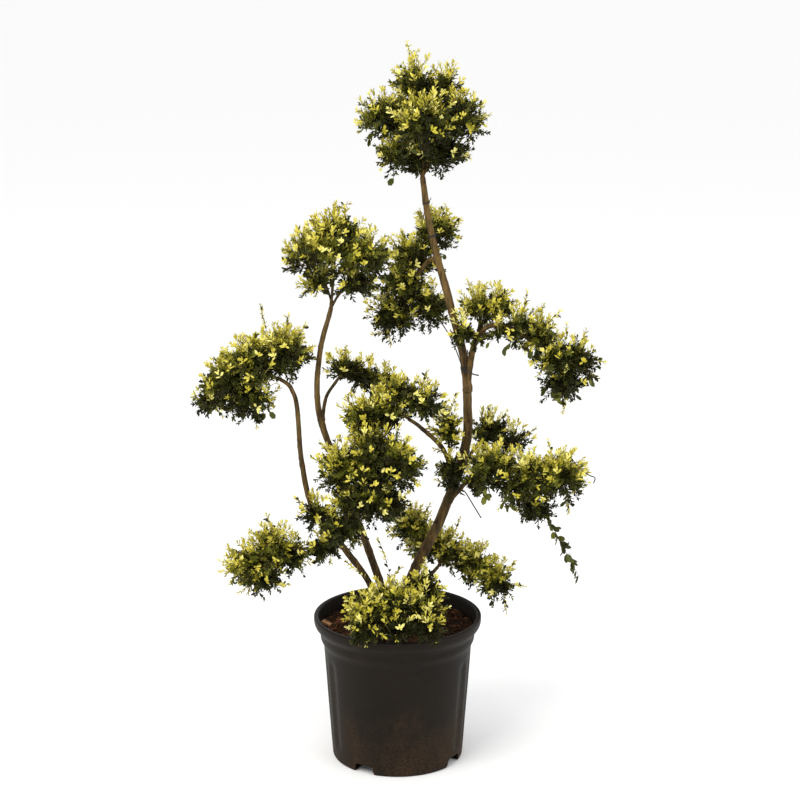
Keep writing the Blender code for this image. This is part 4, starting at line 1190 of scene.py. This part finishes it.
class Crown:
    """The branching of one cloud: a tree of nodes, each with the node that it grew from."""

    def __init__(self, name, route, at, capacity=20000):
        start, heading = route.place(at)
        self.tip_radius = route.radii[-1] if at == 1.0 else OUTGROWTH_RADIUS
        self.places = np.zeros((capacity, 3))
        self.headings = np.zeros((capacity, 3))
        self.parents = np.zeros(capacity, int)
        self.travel = np.zeros(capacity)
        self.bears = np.zeros(capacity, bool)  # whether another twig may start there
        self.places[0] = start
        self.headings[0] = heading
        self.bears[0] = True
        self.count = 1
        self.twigs = []  # (origin, first node, last node)
        self.chance = np.random.default_rng(list(MASSES).index(name) + 100)

    def grow_to(self, target, bearing=False, wobble=0.10, reach=math.inf):
        """Grows a twig to the target from the best node there is, and returns its last node.

        Reach is how far from the cloud's foot, along the twigs, that node may be.
        """
        known = slice(0, self.count)
        away = target - self.places[known]
        distance = np.linalg.norm(away, axis=1)
        forward = (away * self.headings[known]).sum(axis=1) / np.maximum(distance, 1e-6)
        cost = distance * (1 + TURN_COST * (1 - forward)) + TRAVEL_COST * self.travel[known]
        cost[~self.bears[known]] = math.inf
        cost[(distance < CLOSEST_NODE) | (self.travel[known] > reach)] = math.inf
        origin = int(np.argmin(cost))
        if not math.isfinite(cost[origin]):
            return None
        start, gap = self.places[origin], distance[origin]
        leave = unit(unit(away[origin]) + 0.7 * self.headings[origin])
        control = start + leave * gap * 0.5 + self.chance.normal(0, wobble, 3) * gap * 0.5
        steps = max(2, math.ceil(gap / NODE_SPACING))
        share = np.arange(1, steps + 1)[:, None] / steps
        path = (1 - share) ** 2 * start + 2 * share * (1 - share) * control + share**2 * target
        first, last = self.count, self.count + steps - 1
        new = slice(first, last + 1)
        self.places[new] = path
        self.headings[new] = unit(2 * (1 - share) * (control - start) + 2 * share * (target - control))
        self.parents[new] = [origin, *range(first, last)]
        self.travel[new] = self.travel[origin] + gap * share[:, 0]
        self.bears[new] = True
        if not bearing:
            self.bears[last - (steps > 3):last + 1] = False
        self.count += steps
        self.twigs.append((origin, first, last))
        return last

    def radii(self):
        """The radius at every node, from the number of twig tips beyond it."""
        tips = np.zeros(self.count)
        for _, _, last in self.twigs:
            tips[last] += 1
        for node in range(self.count - 1, 0, -1):
            tips[self.parents[node]] += tips[node]
        share = (np.maximum(tips, 1) / max(tips[0], 1)) ** PIPE_POWER
        return np.maximum(THINNEST, self.tip_radius * 0.96 * share)


def pad_samples(pad, count, inset, chance):
    """Points spread evenly round a pad, at chance distances inside its skin."""
    index = np.arange(count) + 0.5
    rise = 1 - 2 * index / count
    flat = np.sqrt(1 - rise * rise)
    angle = chance.uniform(0, math.tau) + index * GOLDEN_ANGLE
    out = np.stack([flat * np.cos(angle), flat * np.sin(angle), rise], axis=1)
    centre, size = np.array(pad[:3]), np.array(pad[3:])
    thick = 1 / np.linalg.norm(out / size, axis=1)
    inset = chance.uniform(*inset, count) * (1 + UNDERSIDE * np.minimum(0, rise))
    depth = np.maximum(LEAST_DEPTH, 1 - inset / thick)[:, None]
    return centre + (out + chance.normal(0, 0.05, out.shape)) * depth * size


def pad_area(pad):
    """The area of a pad's skin, by Thomsen's formula."""
    a, b, c = (radius**1.6 for radius in pad[3:])
    return 4 * math.pi * ((a * b + a * c + b * c) / 3) ** (1 / 1.6)


class Leaves:
    """Collects a cloud's leaves as rows of numbers, to be made into one mesh."""

    def __init__(self, chance):
        self.chance = chance
        self.rows = []  # foot, along, face, length, tone

    def on_shoot(self, foot, along, length, tone, leaf, spacing, bare=0.12):
        """The leaves of one shoot: a spiral that closes up towards its tip."""
        count = max(3, round(length / spacing))
        guide = unit(np.cross(along, [0.31, 0.17, 0.93]))
        other = np.cross(along, guide)
        turn = self.chance.uniform(0, math.tau)
        for i in range(count + 2):
            share = min(1.0, bare + (1 - bare) * (i + 0.5) / count)
            angle = turn + i * GOLDEN_ANGLE
            side = math.cos(angle) * guide + math.sin(angle) * other
            lean = math.radians(62 - 34 * share) * self.chance.uniform(0.75, 1.2)
            axis = unit(math.cos(lean) * along + math.sin(lean) * side + np.array([0, 0, 0.10]))
            face = along - (along @ axis) * axis + self.chance.normal(0, 0.22, 3)
            size = leaf * (1.06 - 0.34 * share) * self.chance.uniform(0.78, 1.12)
            own = tone
            if tone >= OLDEST_YOUNG and share < 0.35:
                own = tone - (2 if self.chance.random() < 0.6 else 1)
            elif self.chance.random() < 0.22:
                own = tone + (1 if self.chance.random() < 0.5 else -1)
            self.rows.append((*(foot + along * length * share), *axis, *face, size, own))

    def single(self, foot, along, length, tone, level=1.0):
        """One leaf on its own; level is how much it keeps its face up."""
        face = np.array([0, 0, level]) + self.chance.normal(0, 0.5, 3)
        self.rows.append((*foot, *along, *face, length, tone))

    def build(self, name, materials, around_it):
        """The leaves that are clear of the limbs and the pot, as one object."""
        rows = np.array(self.rows)
        foot, axis, face = rows[:, 0:3], unit(rows[:, 3:6]), rows[:, 6:9]
        length, tone = rows[:, 9], rows[:, 10].astype(int)
        end = foot + axis * length[:, None]
        keep = around_it.open_air(end) & (around_it.clearance(end) > 0.0005)
        keep &= around_it.clearance(foot + axis * length[:, None] / 2) > 0.0008
        foot, axis, face, length, tone = (part[keep] for part in (foot, axis, face, length, tone))
        face = unit(face - (face * axis).sum(axis=1, keepdims=True) * axis)
        across = np.cross(axis, face)
        withered = self.chance.random(len(tone)) < WITHERED_SHARE
        tone = np.where(withered, WITHERED, np.clip(tone, 0, WITHERED - 1))
        young = tone >= OLDEST_YOUNG
        width = np.where(young, YOUNG_WIDTH, LEAF_WIDTH)
        width = np.where((length > LARGE_LEAF) & ~young, BROAD_WIDTH, width)
        width = width * self.chance.uniform(0.85, 1.12, len(tone))
        curl = self.chance.uniform(0.2, 1.7, len(tone))
        shape = np.array([*LEAF_OUTLINE, LEAF_HEART])
        sides = len(LEAF_OUTLINE)
        faces = [(sides, i, (i + 1) % sides) for i in range(sides)]
        size = length[:, None, None]
        points = (
            foot[:, None]
            + axis[:, None] * shape[None, :, 0:1] * size
            + across[:, None] * shape[None, :, 1:2] * size * width[:, None, None]
            - face[:, None] * shape[None, :, 2:3] * curl[:, None, None] * size
        )
        index = np.array(faces)[None] + (np.arange(len(tone)) * len(shape))[:, None, None]
        slots = np.repeat(tone, sides)
        points, faces = points.reshape(-1, 3).tolist(), index.reshape(-1, 3).tolist()
        return mesh_object(name, points, faces, materials, slots)


class Cloud:
    """One cloud while it grows, with the twigs and leaves collected so far."""

    def __init__(self, name, routes, around_it, foliage):
        self.name = name
        self.mass = MASSES[name]
        self.routes = routes
        self.around_it = around_it
        self.foliage = foliage
        self.crown = Crown(name, routes[self.mass.limb], self.mass.at)
        self.chance = self.crown.chance
        self.leaves = Leaves(self.chance)
        self.strands = Strands(TWIG_SIDES)
        self.low = min(pad[2] - pad[5] for pad in self.mass.pads)
        self.tall = max(pad[2] + pad[5] for pad in self.mass.pads) - self.low

    def grow(self, leaf_materials, twig_materials):
        """Grows the whole cloud and makes its leaves and its twigs, one object each."""
        for pad in self.mass.pads:
            self.crown.grow_to(np.array(pad[:3]), bearing=True, wobble=0.05, reach=self.mass.fork)
        for spray in self.sprays():
            self.spray(*spray)
        for limb, start, end, count in self.mass.spurs:
            self.spurs(self.routes[limb], (start, end), count)
        self.sprigs()
        self.fringe()
        for tip in self.mass.shoots:
            self.long_shoot(np.array(tip))
        self.hang()
        self.twigs()
        leaves = self.leaves.build(self.name + "_leaves", leaf_materials, self.around_it)
        ride(leaves, "foliage", self.name)
        ride(self.strands.build(self.name + "_twigs", twig_materials), "bark")

    def samples(self, number, count, inset):
        """Chance places in a pad, which of them are in no nearer pad, and which way it faces there."""
        pad = self.mass.pads[number]
        points = pad_samples(pad, count, [part * self.foliage.shoot for part in inset], self.chance)
        _, owner = nearest_pads(points, self.mass.pads)
        return points, owner == number, facing(points, pad)

    def targets(self):
        """Where the sprays' feet should be, the nearest ones first, and whether each is an inner one."""
        mass, root = self.mass, self.crown.places[0]
        targets = []
        for number, pad in enumerate(mass.pads):
            count = max(6, round(pad_area(pad) / self.foliage.spray_area))
            for share, inset, inner in ((1.0, SKIN_INSET, False), (INNER_SHARE, INNER_INSET, True)):
                points, own, out = self.samples(number, max(1, round(count * share)), inset)
                keep = own & self.around_it.free(points, self.name)
                rise = out[:, 2]
                points[:, 2] -= SHOOT_RISE * self.foliage.shoot * np.clip(0.7 + rise, 0.15, 1)
                keep &= self.chance.random(len(points)) < 1 + mass.thin * np.minimum(0, rise)
                keep &= np.linalg.norm(points - root, axis=1) > mass.neck
                targets += [
                    (point, inner) for point in points[keep]
                    if noise.noise(Vector(point) * GAP_SCALE) > GAP_LEVEL + mass.open
                ]
        targets.sort(key=lambda item: np.linalg.norm(item[0] - root) * (0.8 if item[1] else 1.0))
        return targets

    def tone(self, place, out):
        """A spray's tone: young where the cloud faces the sun or in chance patches, or else old; the tones
        also paint light and shade, lighter towards the sun, the top and the left and right sides, darker away
        from them.
        """
        height = (place[2] - self.low) / self.tall
        patch = noise.noise(Vector(place) * PATCH_SCALE)
        # painted light and shade: lighter tones facing the sun and higher up, darker facing away and lower
        # down
        youth_and_light = self.mass.gold + 0.32 * float(out @ SUN) + 0.20 * height + 0.60 * patch
        youth_and_light += self.chance.normal(0, 0.14)
        # painted light on a cloud's left and right sides, painted shade in its middle
        youth_and_light += EDGE_PAINTED_LIGHT * (abs(float(out[0])) - 0.5)
        if youth_and_light > YOUNG_LEVEL:
            return OLDEST_YOUNG + sum(youth_and_light > YOUNG_LEVEL + step for step in YOUNG_STEPS)
        return sum(youth_and_light > step for step in OLD_STEPS)

    def sprays(self):
        """Grows the twigs out to the sprays, and gives each one's node, facing, tone and depth."""
        sprays = []
        for point, inner in self.targets():
            _, owner = nearest_pads(point[None], self.mass.pads)
            out = facing(point, self.mass.pads[owner[0]])
            tone = self.tone(point, out)
            # inner sprays keep dark tones: partly older leaves, partly painted shade inside the cloud
            if inner:
                tone = min(tone, 1 if self.chance.random() < 0.7 else 2)
            if tone < OLDEST_YOUNG:
                point = point - out * OLD_INSET
            node = self.crown.grow_to(point)
            if node is not None:
                sprays.append((node, out, tone, inner))
        return sprays

    def spray(self, node, out, tone, inner):
        """One leafy shoot at a twig's end, and shorter ones beside it."""
        chance, foliage = self.chance, self.foliage
        place, heading = self.crown.places[node], self.crown.headings[node]
        young = tone >= OLDEST_YOUNG
        leaf = foliage.new_leaf if young else foliage.old_leaf
        spacing = foliage.leaf_spacing * (YOUNG_SPACING if young else 1)
        for shoot in range(1 + SIDE_SHOOTS):
            along = unit(heading * 0.8 + out * 0.5 + np.array([0, 0, 0.45 if young else 0.15])
                         + chance.normal(0, 0.22 if shoot == 0 else 0.75, 3))
            back = 0 if shoot == 0 else chance.uniform(0.2, 0.9) * NODE_SPACING * 1.6
            foot = place - heading * back
            length = foliage.shoot * chance.uniform(0.75, 1.25) * (1.0 if shoot == 0 else SIDE_LENGTH)
            if young:
                length *= YOUNG_LENGTH
            if inner:
                length *= INNER_LENGTH
            end = foot + along * length
            if not self.around_it.blocks(end):
                bend = foot + along * length * 0.5 + chance.normal(0, 0.0012, 3)
                self.strands.add([foot, bend, end], SHOOT_RADII, int(young))
                self.leaves.on_shoot(foot, along, length, tone, leaf, spacing)

    def spurs(self, route, span, count):
        """Short leafy spurs that stand straight out of a bough, most of them from its underside."""
        chance, foliage = self.chance, self.foliage
        for _ in range(count):
            place, heading = route.place(chance.uniform(*span))
            along = unit(0.35 * np.array(heading) + chance.normal(0, 0.6, 3) - [0, 0, 0.55])
            foot = np.array(place)
            length = foliage.shoot * chance.uniform(0.5, 0.9)
            self.strands.add([foot, foot + along * length], SPUR_RADII)
            tone = int(chance.choice(SPUR_TONES))
            self.leaves.on_shoot(foot, along, length, tone, foliage.old_leaf, foliage.leaf_spacing, bare=0.35)

    def sprigs(self):
        """The pale sprigs that stand out singly all round a cloud, each a loose star of broad leaves."""
        chance, foliage, mass = self.chance, self.foliage, self.mass
        for number, pad in enumerate(mass.pads):
            count = round(pad_area(pad) * foliage.sprigs * mass.stars * (0.3 + mass.gold))
            points, own, out = self.samples(number, count, SPRIG_INSET)
            keep = own & self.around_it.free(points, self.name) & (out[:, 2] > SPRIG_LOWEST)
            for foot, way in zip(points[keep], out[keep]):
                along = unit(0.8 * way + [0, 0, 0.45] + chance.normal(0, 0.25, 3))
                length = foliage.shoot * chance.uniform(0.45, 0.85)
                end = foot + along * length
                if not self.around_it.blocks(end):
                    self.strands.add([foot - along * 0.012, foot, end], SPRIG_RADII, 1)
                    tone = int(chance.choice(PALE_TONES, p=SPRIG_SHARES))
                    self.leaves.on_shoot(foot, along, length, tone, foliage.new_leaf * SPRIG_LEAF,
                                         foliage.leaf_spacing * 1.5, bare=0.3)

    def fringe(self):
        """The long young shoots that stand up out of a cloud's top, singly and in loose bunches."""
        chance, foliage, mass = self.chance, self.foliage, self.mass
        for number, pad in enumerate(mass.pads):
            count = max(1, round(pad_area(pad) * mass.gold * foliage.fringe))
            points, own, out = self.samples(number, 4 * count, FRINGE_INSET)
            keep = own & self.around_it.open_air(points)
            keep &= out @ SUN + chance.normal(0, 0.15, len(out)) > 0.30
            keep &= chance.random(len(out)) < 0.75
            for foot, way in zip(points[keep][:count], out[keep][:count]):
                along = unit(0.45 * way + np.array([0, 0, 0.9]) + chance.normal(0, 0.20, 3))
                length = foliage.shoot * chance.uniform(0.9, 1.7)
                end = foot + along * length
                if not self.around_it.blocks(end):
                    bend = foot + along * length * 0.5 + chance.normal(0, 0.0016, 3)
                    self.strands.add([foot - along * 0.01, bend, end], SHOOT_RADII, 1)
                    tone = int(chance.choice(PALE_TONES, p=FRINGE_SHARES))
                    self.leaves.on_shoot(foot, along, length, tone, foliage.new_leaf * FRINGE_LEAF,
                                         foliage.leaf_spacing * 1.15, bare=0.05)

    def long_shoot(self, tip):
        """One long shoot to a given point: young and upright, or old and large-leaved where it hangs."""
        crown, foliage = self.crown, self.foliage
        node = crown.grow_to(tip - unit(tip - crown.places[0]) * 0.004, wobble=0.04)
        if node is None:
            return
        origin, first, last = crown.twigs[-1]
        nodes = range(first, last + 1)
        if tip[2] < crown.places[origin][2] - LONG_DROP:
            for node in nodes[len(nodes) - round(TRAILING_SHARE * len(nodes)):]:
                self.hang_leaf(node)
                self.hang_leaf(node)
            return
        for node in nodes[-UPRIGHT_NODES:]:
            along = crown.headings[node]
            foot = crown.places[node] - along * NODE_SPACING
            self.leaves.on_shoot(foot, along, NODE_SPACING, int(self.chance.choice(PALE_TONES)),
                                 foliage.new_leaf * UPRIGHT_LEAF, foliage.leaf_spacing * 1.2)

    def hang_leaf(self, node):
        """One large old leaf at a node of a hanging twig."""
        aim = unit(0.5 * self.crown.headings[node] + self.chance.normal(0, 0.6, 3) - [0, 0, 0.35])
        length = HANGING_LEAF * self.chance.uniform(0.75, 1.05)
        tone = int(self.chance.choice(HANGING_TONES))
        self.leaves.single(self.crown.places[node], aim, length, tone, level=0.0)

    def hang(self):
        """The short bare twigs with large old leaves that hang from a cloud's underside."""
        chance, pads = self.chance, self.mass.pads
        share = np.array([pad_area(pad) for pad in pads])
        for number in chance.choice(len(pads), self.mass.hanging, p=share / share.sum()):
            pad = pads[number]
            spread = chance.uniform(-0.8, 0.8, 2)
            fall = math.sqrt(max(0.05, 1 - spread @ spread / 1.3))
            tip = np.array([pad[0] + spread[0] * pad[3], pad[1] + spread[1] * pad[4],
                            pad[2] - fall * pad[5] - chance.uniform(0, 0.008)])
            if tip[2] < self.low - HANGING_LEAF or self.around_it.clearance(tip[None])[0] < HANGING_LEAF:
                continue
            last = self.crown.grow_to(tip)
            if last is not None:
                for node in {last, last - 1}:
                    self.hang_leaf(node)

    def twigs(self):
        """The twigs themselves, with single old leaves on the thin ones."""
        crown, chance = self.crown, self.chance
        radii = crown.radii()
        for origin, first, last in crown.twigs:
            nodes = range(first, last + 1)
            self.strands.add(crown.places[[origin, *nodes]], radii[[first, *nodes]])
            for node in nodes[1:-1]:
                away = np.linalg.norm(crown.places[node] - crown.places[0])
                if radii[node] < LEAFY_TWIG and away > self.mass.neck:
                    aim = unit(crown.headings[node] + chance.normal(0, 0.9, 3))
                    length = self.foliage.old_leaf * chance.uniform(0.8, 1.1)
                    # the painted deep shade tone for half of these inner leaves, dark green for the rest
                    self.leaves.single(crown.places[node], aim, length, 0 if chance.random() < 0.5 else 1)


TWIG_AGE = 0.25  # how much older the twigs' bark looks than the boughs'
GREEN_SHOOT = (0.20, 0.20, 0.035)


class HOLLY_OT_foliage(bpy.types.Operator):
    """Grows every cloud and tuft of twigs, shoots and leaves"""

    bl_idname = "holly.foliage"
    bl_label = "Clouds of foliage"

    def execute(self, context):
        foliage = context.scene.holly_foliage
        routes = make_routes(COARSE_SPACING / 2)
        around_it = Surroundings(routes)
        leaf_materials = [plain_material(*tone) for tone in LEAF_TONES]
        twig_materials = [bark_material(context.scene.holly_bark, "twig_bark", TWIG_AGE),
                          plain_material("green_shoot", GREEN_SHOOT, 0.5)]
        for name in MASSES:
            Cloud(name, routes, around_it, foliage).grow(leaf_materials, twig_materials)
        return {"FINISHED"}


# ---------------------------------------------------------------- ties

TIE_RADIUS = 0.0011
TIE_STEPS = 20  # for each turn of a winding
TIE_SIDES = 8
TIE_BLACK = (0.008, 0.008, 0.007)
TIE_WORN = (0.040, 0.034, 0.026)
WIRE_SPACING = 0.004
TIES = (
    # limb, height of the band's middle, half its width, its windings
    ("trunk", 0.783, 0.0060, 5),
    ("trunk", 0.617, 0.0022, 2),
    ("trunk", 0.556, 0.0120, 8),
    ("trunk", 1.044, 0.0022, 2),
    ("trunk", 1.107, 0.0014, 1),
)
WIRES = (
    # the points each stiff end or wire runs through, and its radius
    ([(0.1325, 0.010, 0.784), (0.146, 0.002, 0.779), (0.156, -0.002, 0.778)], 0.0014),
    ([(0.0835, 0.020, 0.878), (0.098, 0.014, 0.856), (0.112, 0.010, 0.826), (0.124, 0.014, 0.792)], 0.0011),
    ([(0.118, 0.006, 0.548), (0.130, 0.000, 0.545), (0.150, -0.006, 0.514), (0.163, -0.010, 0.493)], 0.0012),
    ([(0.106, 0.010, 0.542), (0.092, 0.000, 0.556), (0.077, -0.004, 0.572)], 0.0009),
    ([(0.326, -0.055, 0.637), (0.345, -0.057, 0.612), (0.366, -0.060, 0.596), (0.3785, -0.060, 0.590),
      (0.376, -0.060, 0.579)], 0.0011),
    ([(0.0525, 0.022, 1.106), (0.060, 0.016, 1.113), (0.064, 0.014, 1.120)], 0.0009),
)


class HOLLY_OT_ties(bpy.types.Operator):
    """Winds the garden ties round the trunk and leaves their stiff ends standing out"""

    bl_idname = "holly.ties"
    bl_label = "Ties"

    def execute(self, context):
        routes = make_routes(TIE_RADIUS)
        shader = Shader("weathered_tie", roughness=0.55, specular=0.3)
        wear = shader.noise(300, 4, 0.6)
        shader.colour(shader.ramp(wear, (0.40, TIE_BLACK), (0.70, TIE_WORN)))
        shader.bump(wear, 0.0004, 0.6)
        strands = Strands(TIE_SIDES)
        for limb, height, half, windings in TIES:
            route = routes[limb]
            at = min(range(len(route.path)), key=lambda i: abs(route.path[i].z - height))
            centre, heading = route.path[at], route.headings[at]
            radius = route.radii[at] + TIE_RADIUS * 0.7
            side = heading.orthogonal().normalized()
            steps = TIE_STEPS * windings
            path = []
            for i in range(steps + 1):
                out = Quaternion(heading, math.tau * i / TIE_STEPS) @ side
                along = (i / steps - 0.5) * 2 * half + 0.0008 * math.sin(i * 0.7)
                path.append(centre + heading * along + out * radius)
            strands.add(path, [TIE_RADIUS] * len(path))
        for points, radius in WIRES:
            first, *given = [Vector(point) for point in points]
            path = [first, *smooth_path(given, first, WIRE_SPACING)]
            strands.add(path, [radius] * len(path))
        ride(strands.build("garden_ties", [shader.material]), "pot_plastic")
        return {"FINISHED"}


# ---------------------------------------------------------------- stage


def area_light(name, place, target, size, power, colour):
    """A soft square light that points at a target."""
    lamp = bpy.data.lights.new(name, "AREA")
    lamp.shape = "SQUARE"
    lamp.size = size
    lamp.energy = power
    lamp.color = colour
    made = placed(name, lamp)
    made.location = place
    made.rotation_euler = (Vector(target) - Vector(place)).to_track_quat("-Z", "Y").to_euler()


PALE = (0.90, 0.90, 0.90)
FLOOR_RADIUS = 90
FLOOR_GAP = 0.0005  # under the pot
SKY_LIGHT = 1.06
LIGHTS = (
    # name, place, target, size, share of the key light's power, colour
    ("key", (-1.9, -2.2, 3.6), (0, 0, 0.8), 2.4, 1.0, (1.0, 0.98, 0.93)),
    ("fill", (2.6, -2.0, 1.6), (0, 0, 0.7), 2.0, 0.25, (0.95, 0.97, 1.0)),
)


class HOLLY_OT_stage(bpy.types.Operator):
    """Sets up the pale floor, the soft light and the camera"""

    bl_idname = "holly.stage"
    bl_label = "Stage"

    def execute(self, context):
        stage = context.scene.holly_stage
        scene = context.scene
        shape = bmesh.new()
        bmesh.ops.create_circle(shape, cap_ends=True, segments=64, radius=FLOOR_RADIUS)
        surface = plain_material("pale_floor", PALE, 0.9, 0.1)
        floor = bmesh_object("pale_floor", shape, [surface])
        floor.location.z = -FLOOR_GAP
        world = bpy.data.worlds.new("studio")
        world.use_nodes = True
        sky = world.node_tree.nodes["Background"].inputs
        sky["Color"].default_value = (1, 1, 1, 1)
        sky["Strength"].default_value = SKY_LIGHT
        scene.world = world
        for name, place, target, size, share, colour in LIGHTS:
            area_light(name, place, target, size, stage.key * share, colour)
        camera = bpy.data.cameras.new("camera")
        camera.lens = stage.lens
        camera.sensor_width = 36
        scene.camera = placed("camera", camera)
        scene.camera.location = stage.camera_place
        scene.camera.rotation_euler = (math.pi / 2 - stage.camera_tilt, 0, 0)
        scene.view_settings.view_transform = "Standard"
        return {"FINISHED"}


# ---------------------------------------------------------------- add-on

PIECES = (HOLLY_OT_pot, HOLLY_OT_soil, HOLLY_OT_limbs, HOLLY_OT_ties, HOLLY_OT_foliage, HOLLY_OT_stage)


class HOLLY_PT_panel(bpy.types.Panel):
    """Lists the plant's pieces and their settings"""

    bl_idname = "HOLLY_PT_panel"
    bl_label = "Potted holly"
    bl_space_type = "VIEW_3D"
    bl_region_type = "UI"
    bl_category = "Holly"

    def draw(self, context):
        layout = self.layout
        for piece in PIECES:
            layout.operator(piece.bl_idname)
        for name, group in SETTINGS.items():
            box = layout.box()
            box.label(text=group.__doc__)
            for setting in group.__annotations__:
                box.prop(getattr(context.scene, name), setting)


def register():
    """Registers the settings, operators and panel."""
    for name, group in SETTINGS.items():
        bpy.utils.register_class(group)
        setattr(bpy.types.Scene, name, PointerProperty(type=group))
    for piece in (*PIECES, HOLLY_PT_panel):
        bpy.utils.register_class(piece)


def unregister():
    """Takes them off again."""
    for piece in (HOLLY_PT_panel, *reversed(PIECES)):
        bpy.utils.unregister_class(piece)
    for name, group in reversed(SETTINGS.items()):
        delattr(bpy.types.Scene, name)
        bpy.utils.unregister_class(group)


def main():
    """Builds the plant and its stage."""
    register()
    bpy.ops.holly.pot()
    bpy.ops.holly.soil()
    bpy.ops.holly.limbs()
    bpy.ops.holly.ties()
    bpy.ops.holly.foliage()
    bpy.ops.holly.stage()


if __name__ == "__main__":
    main()
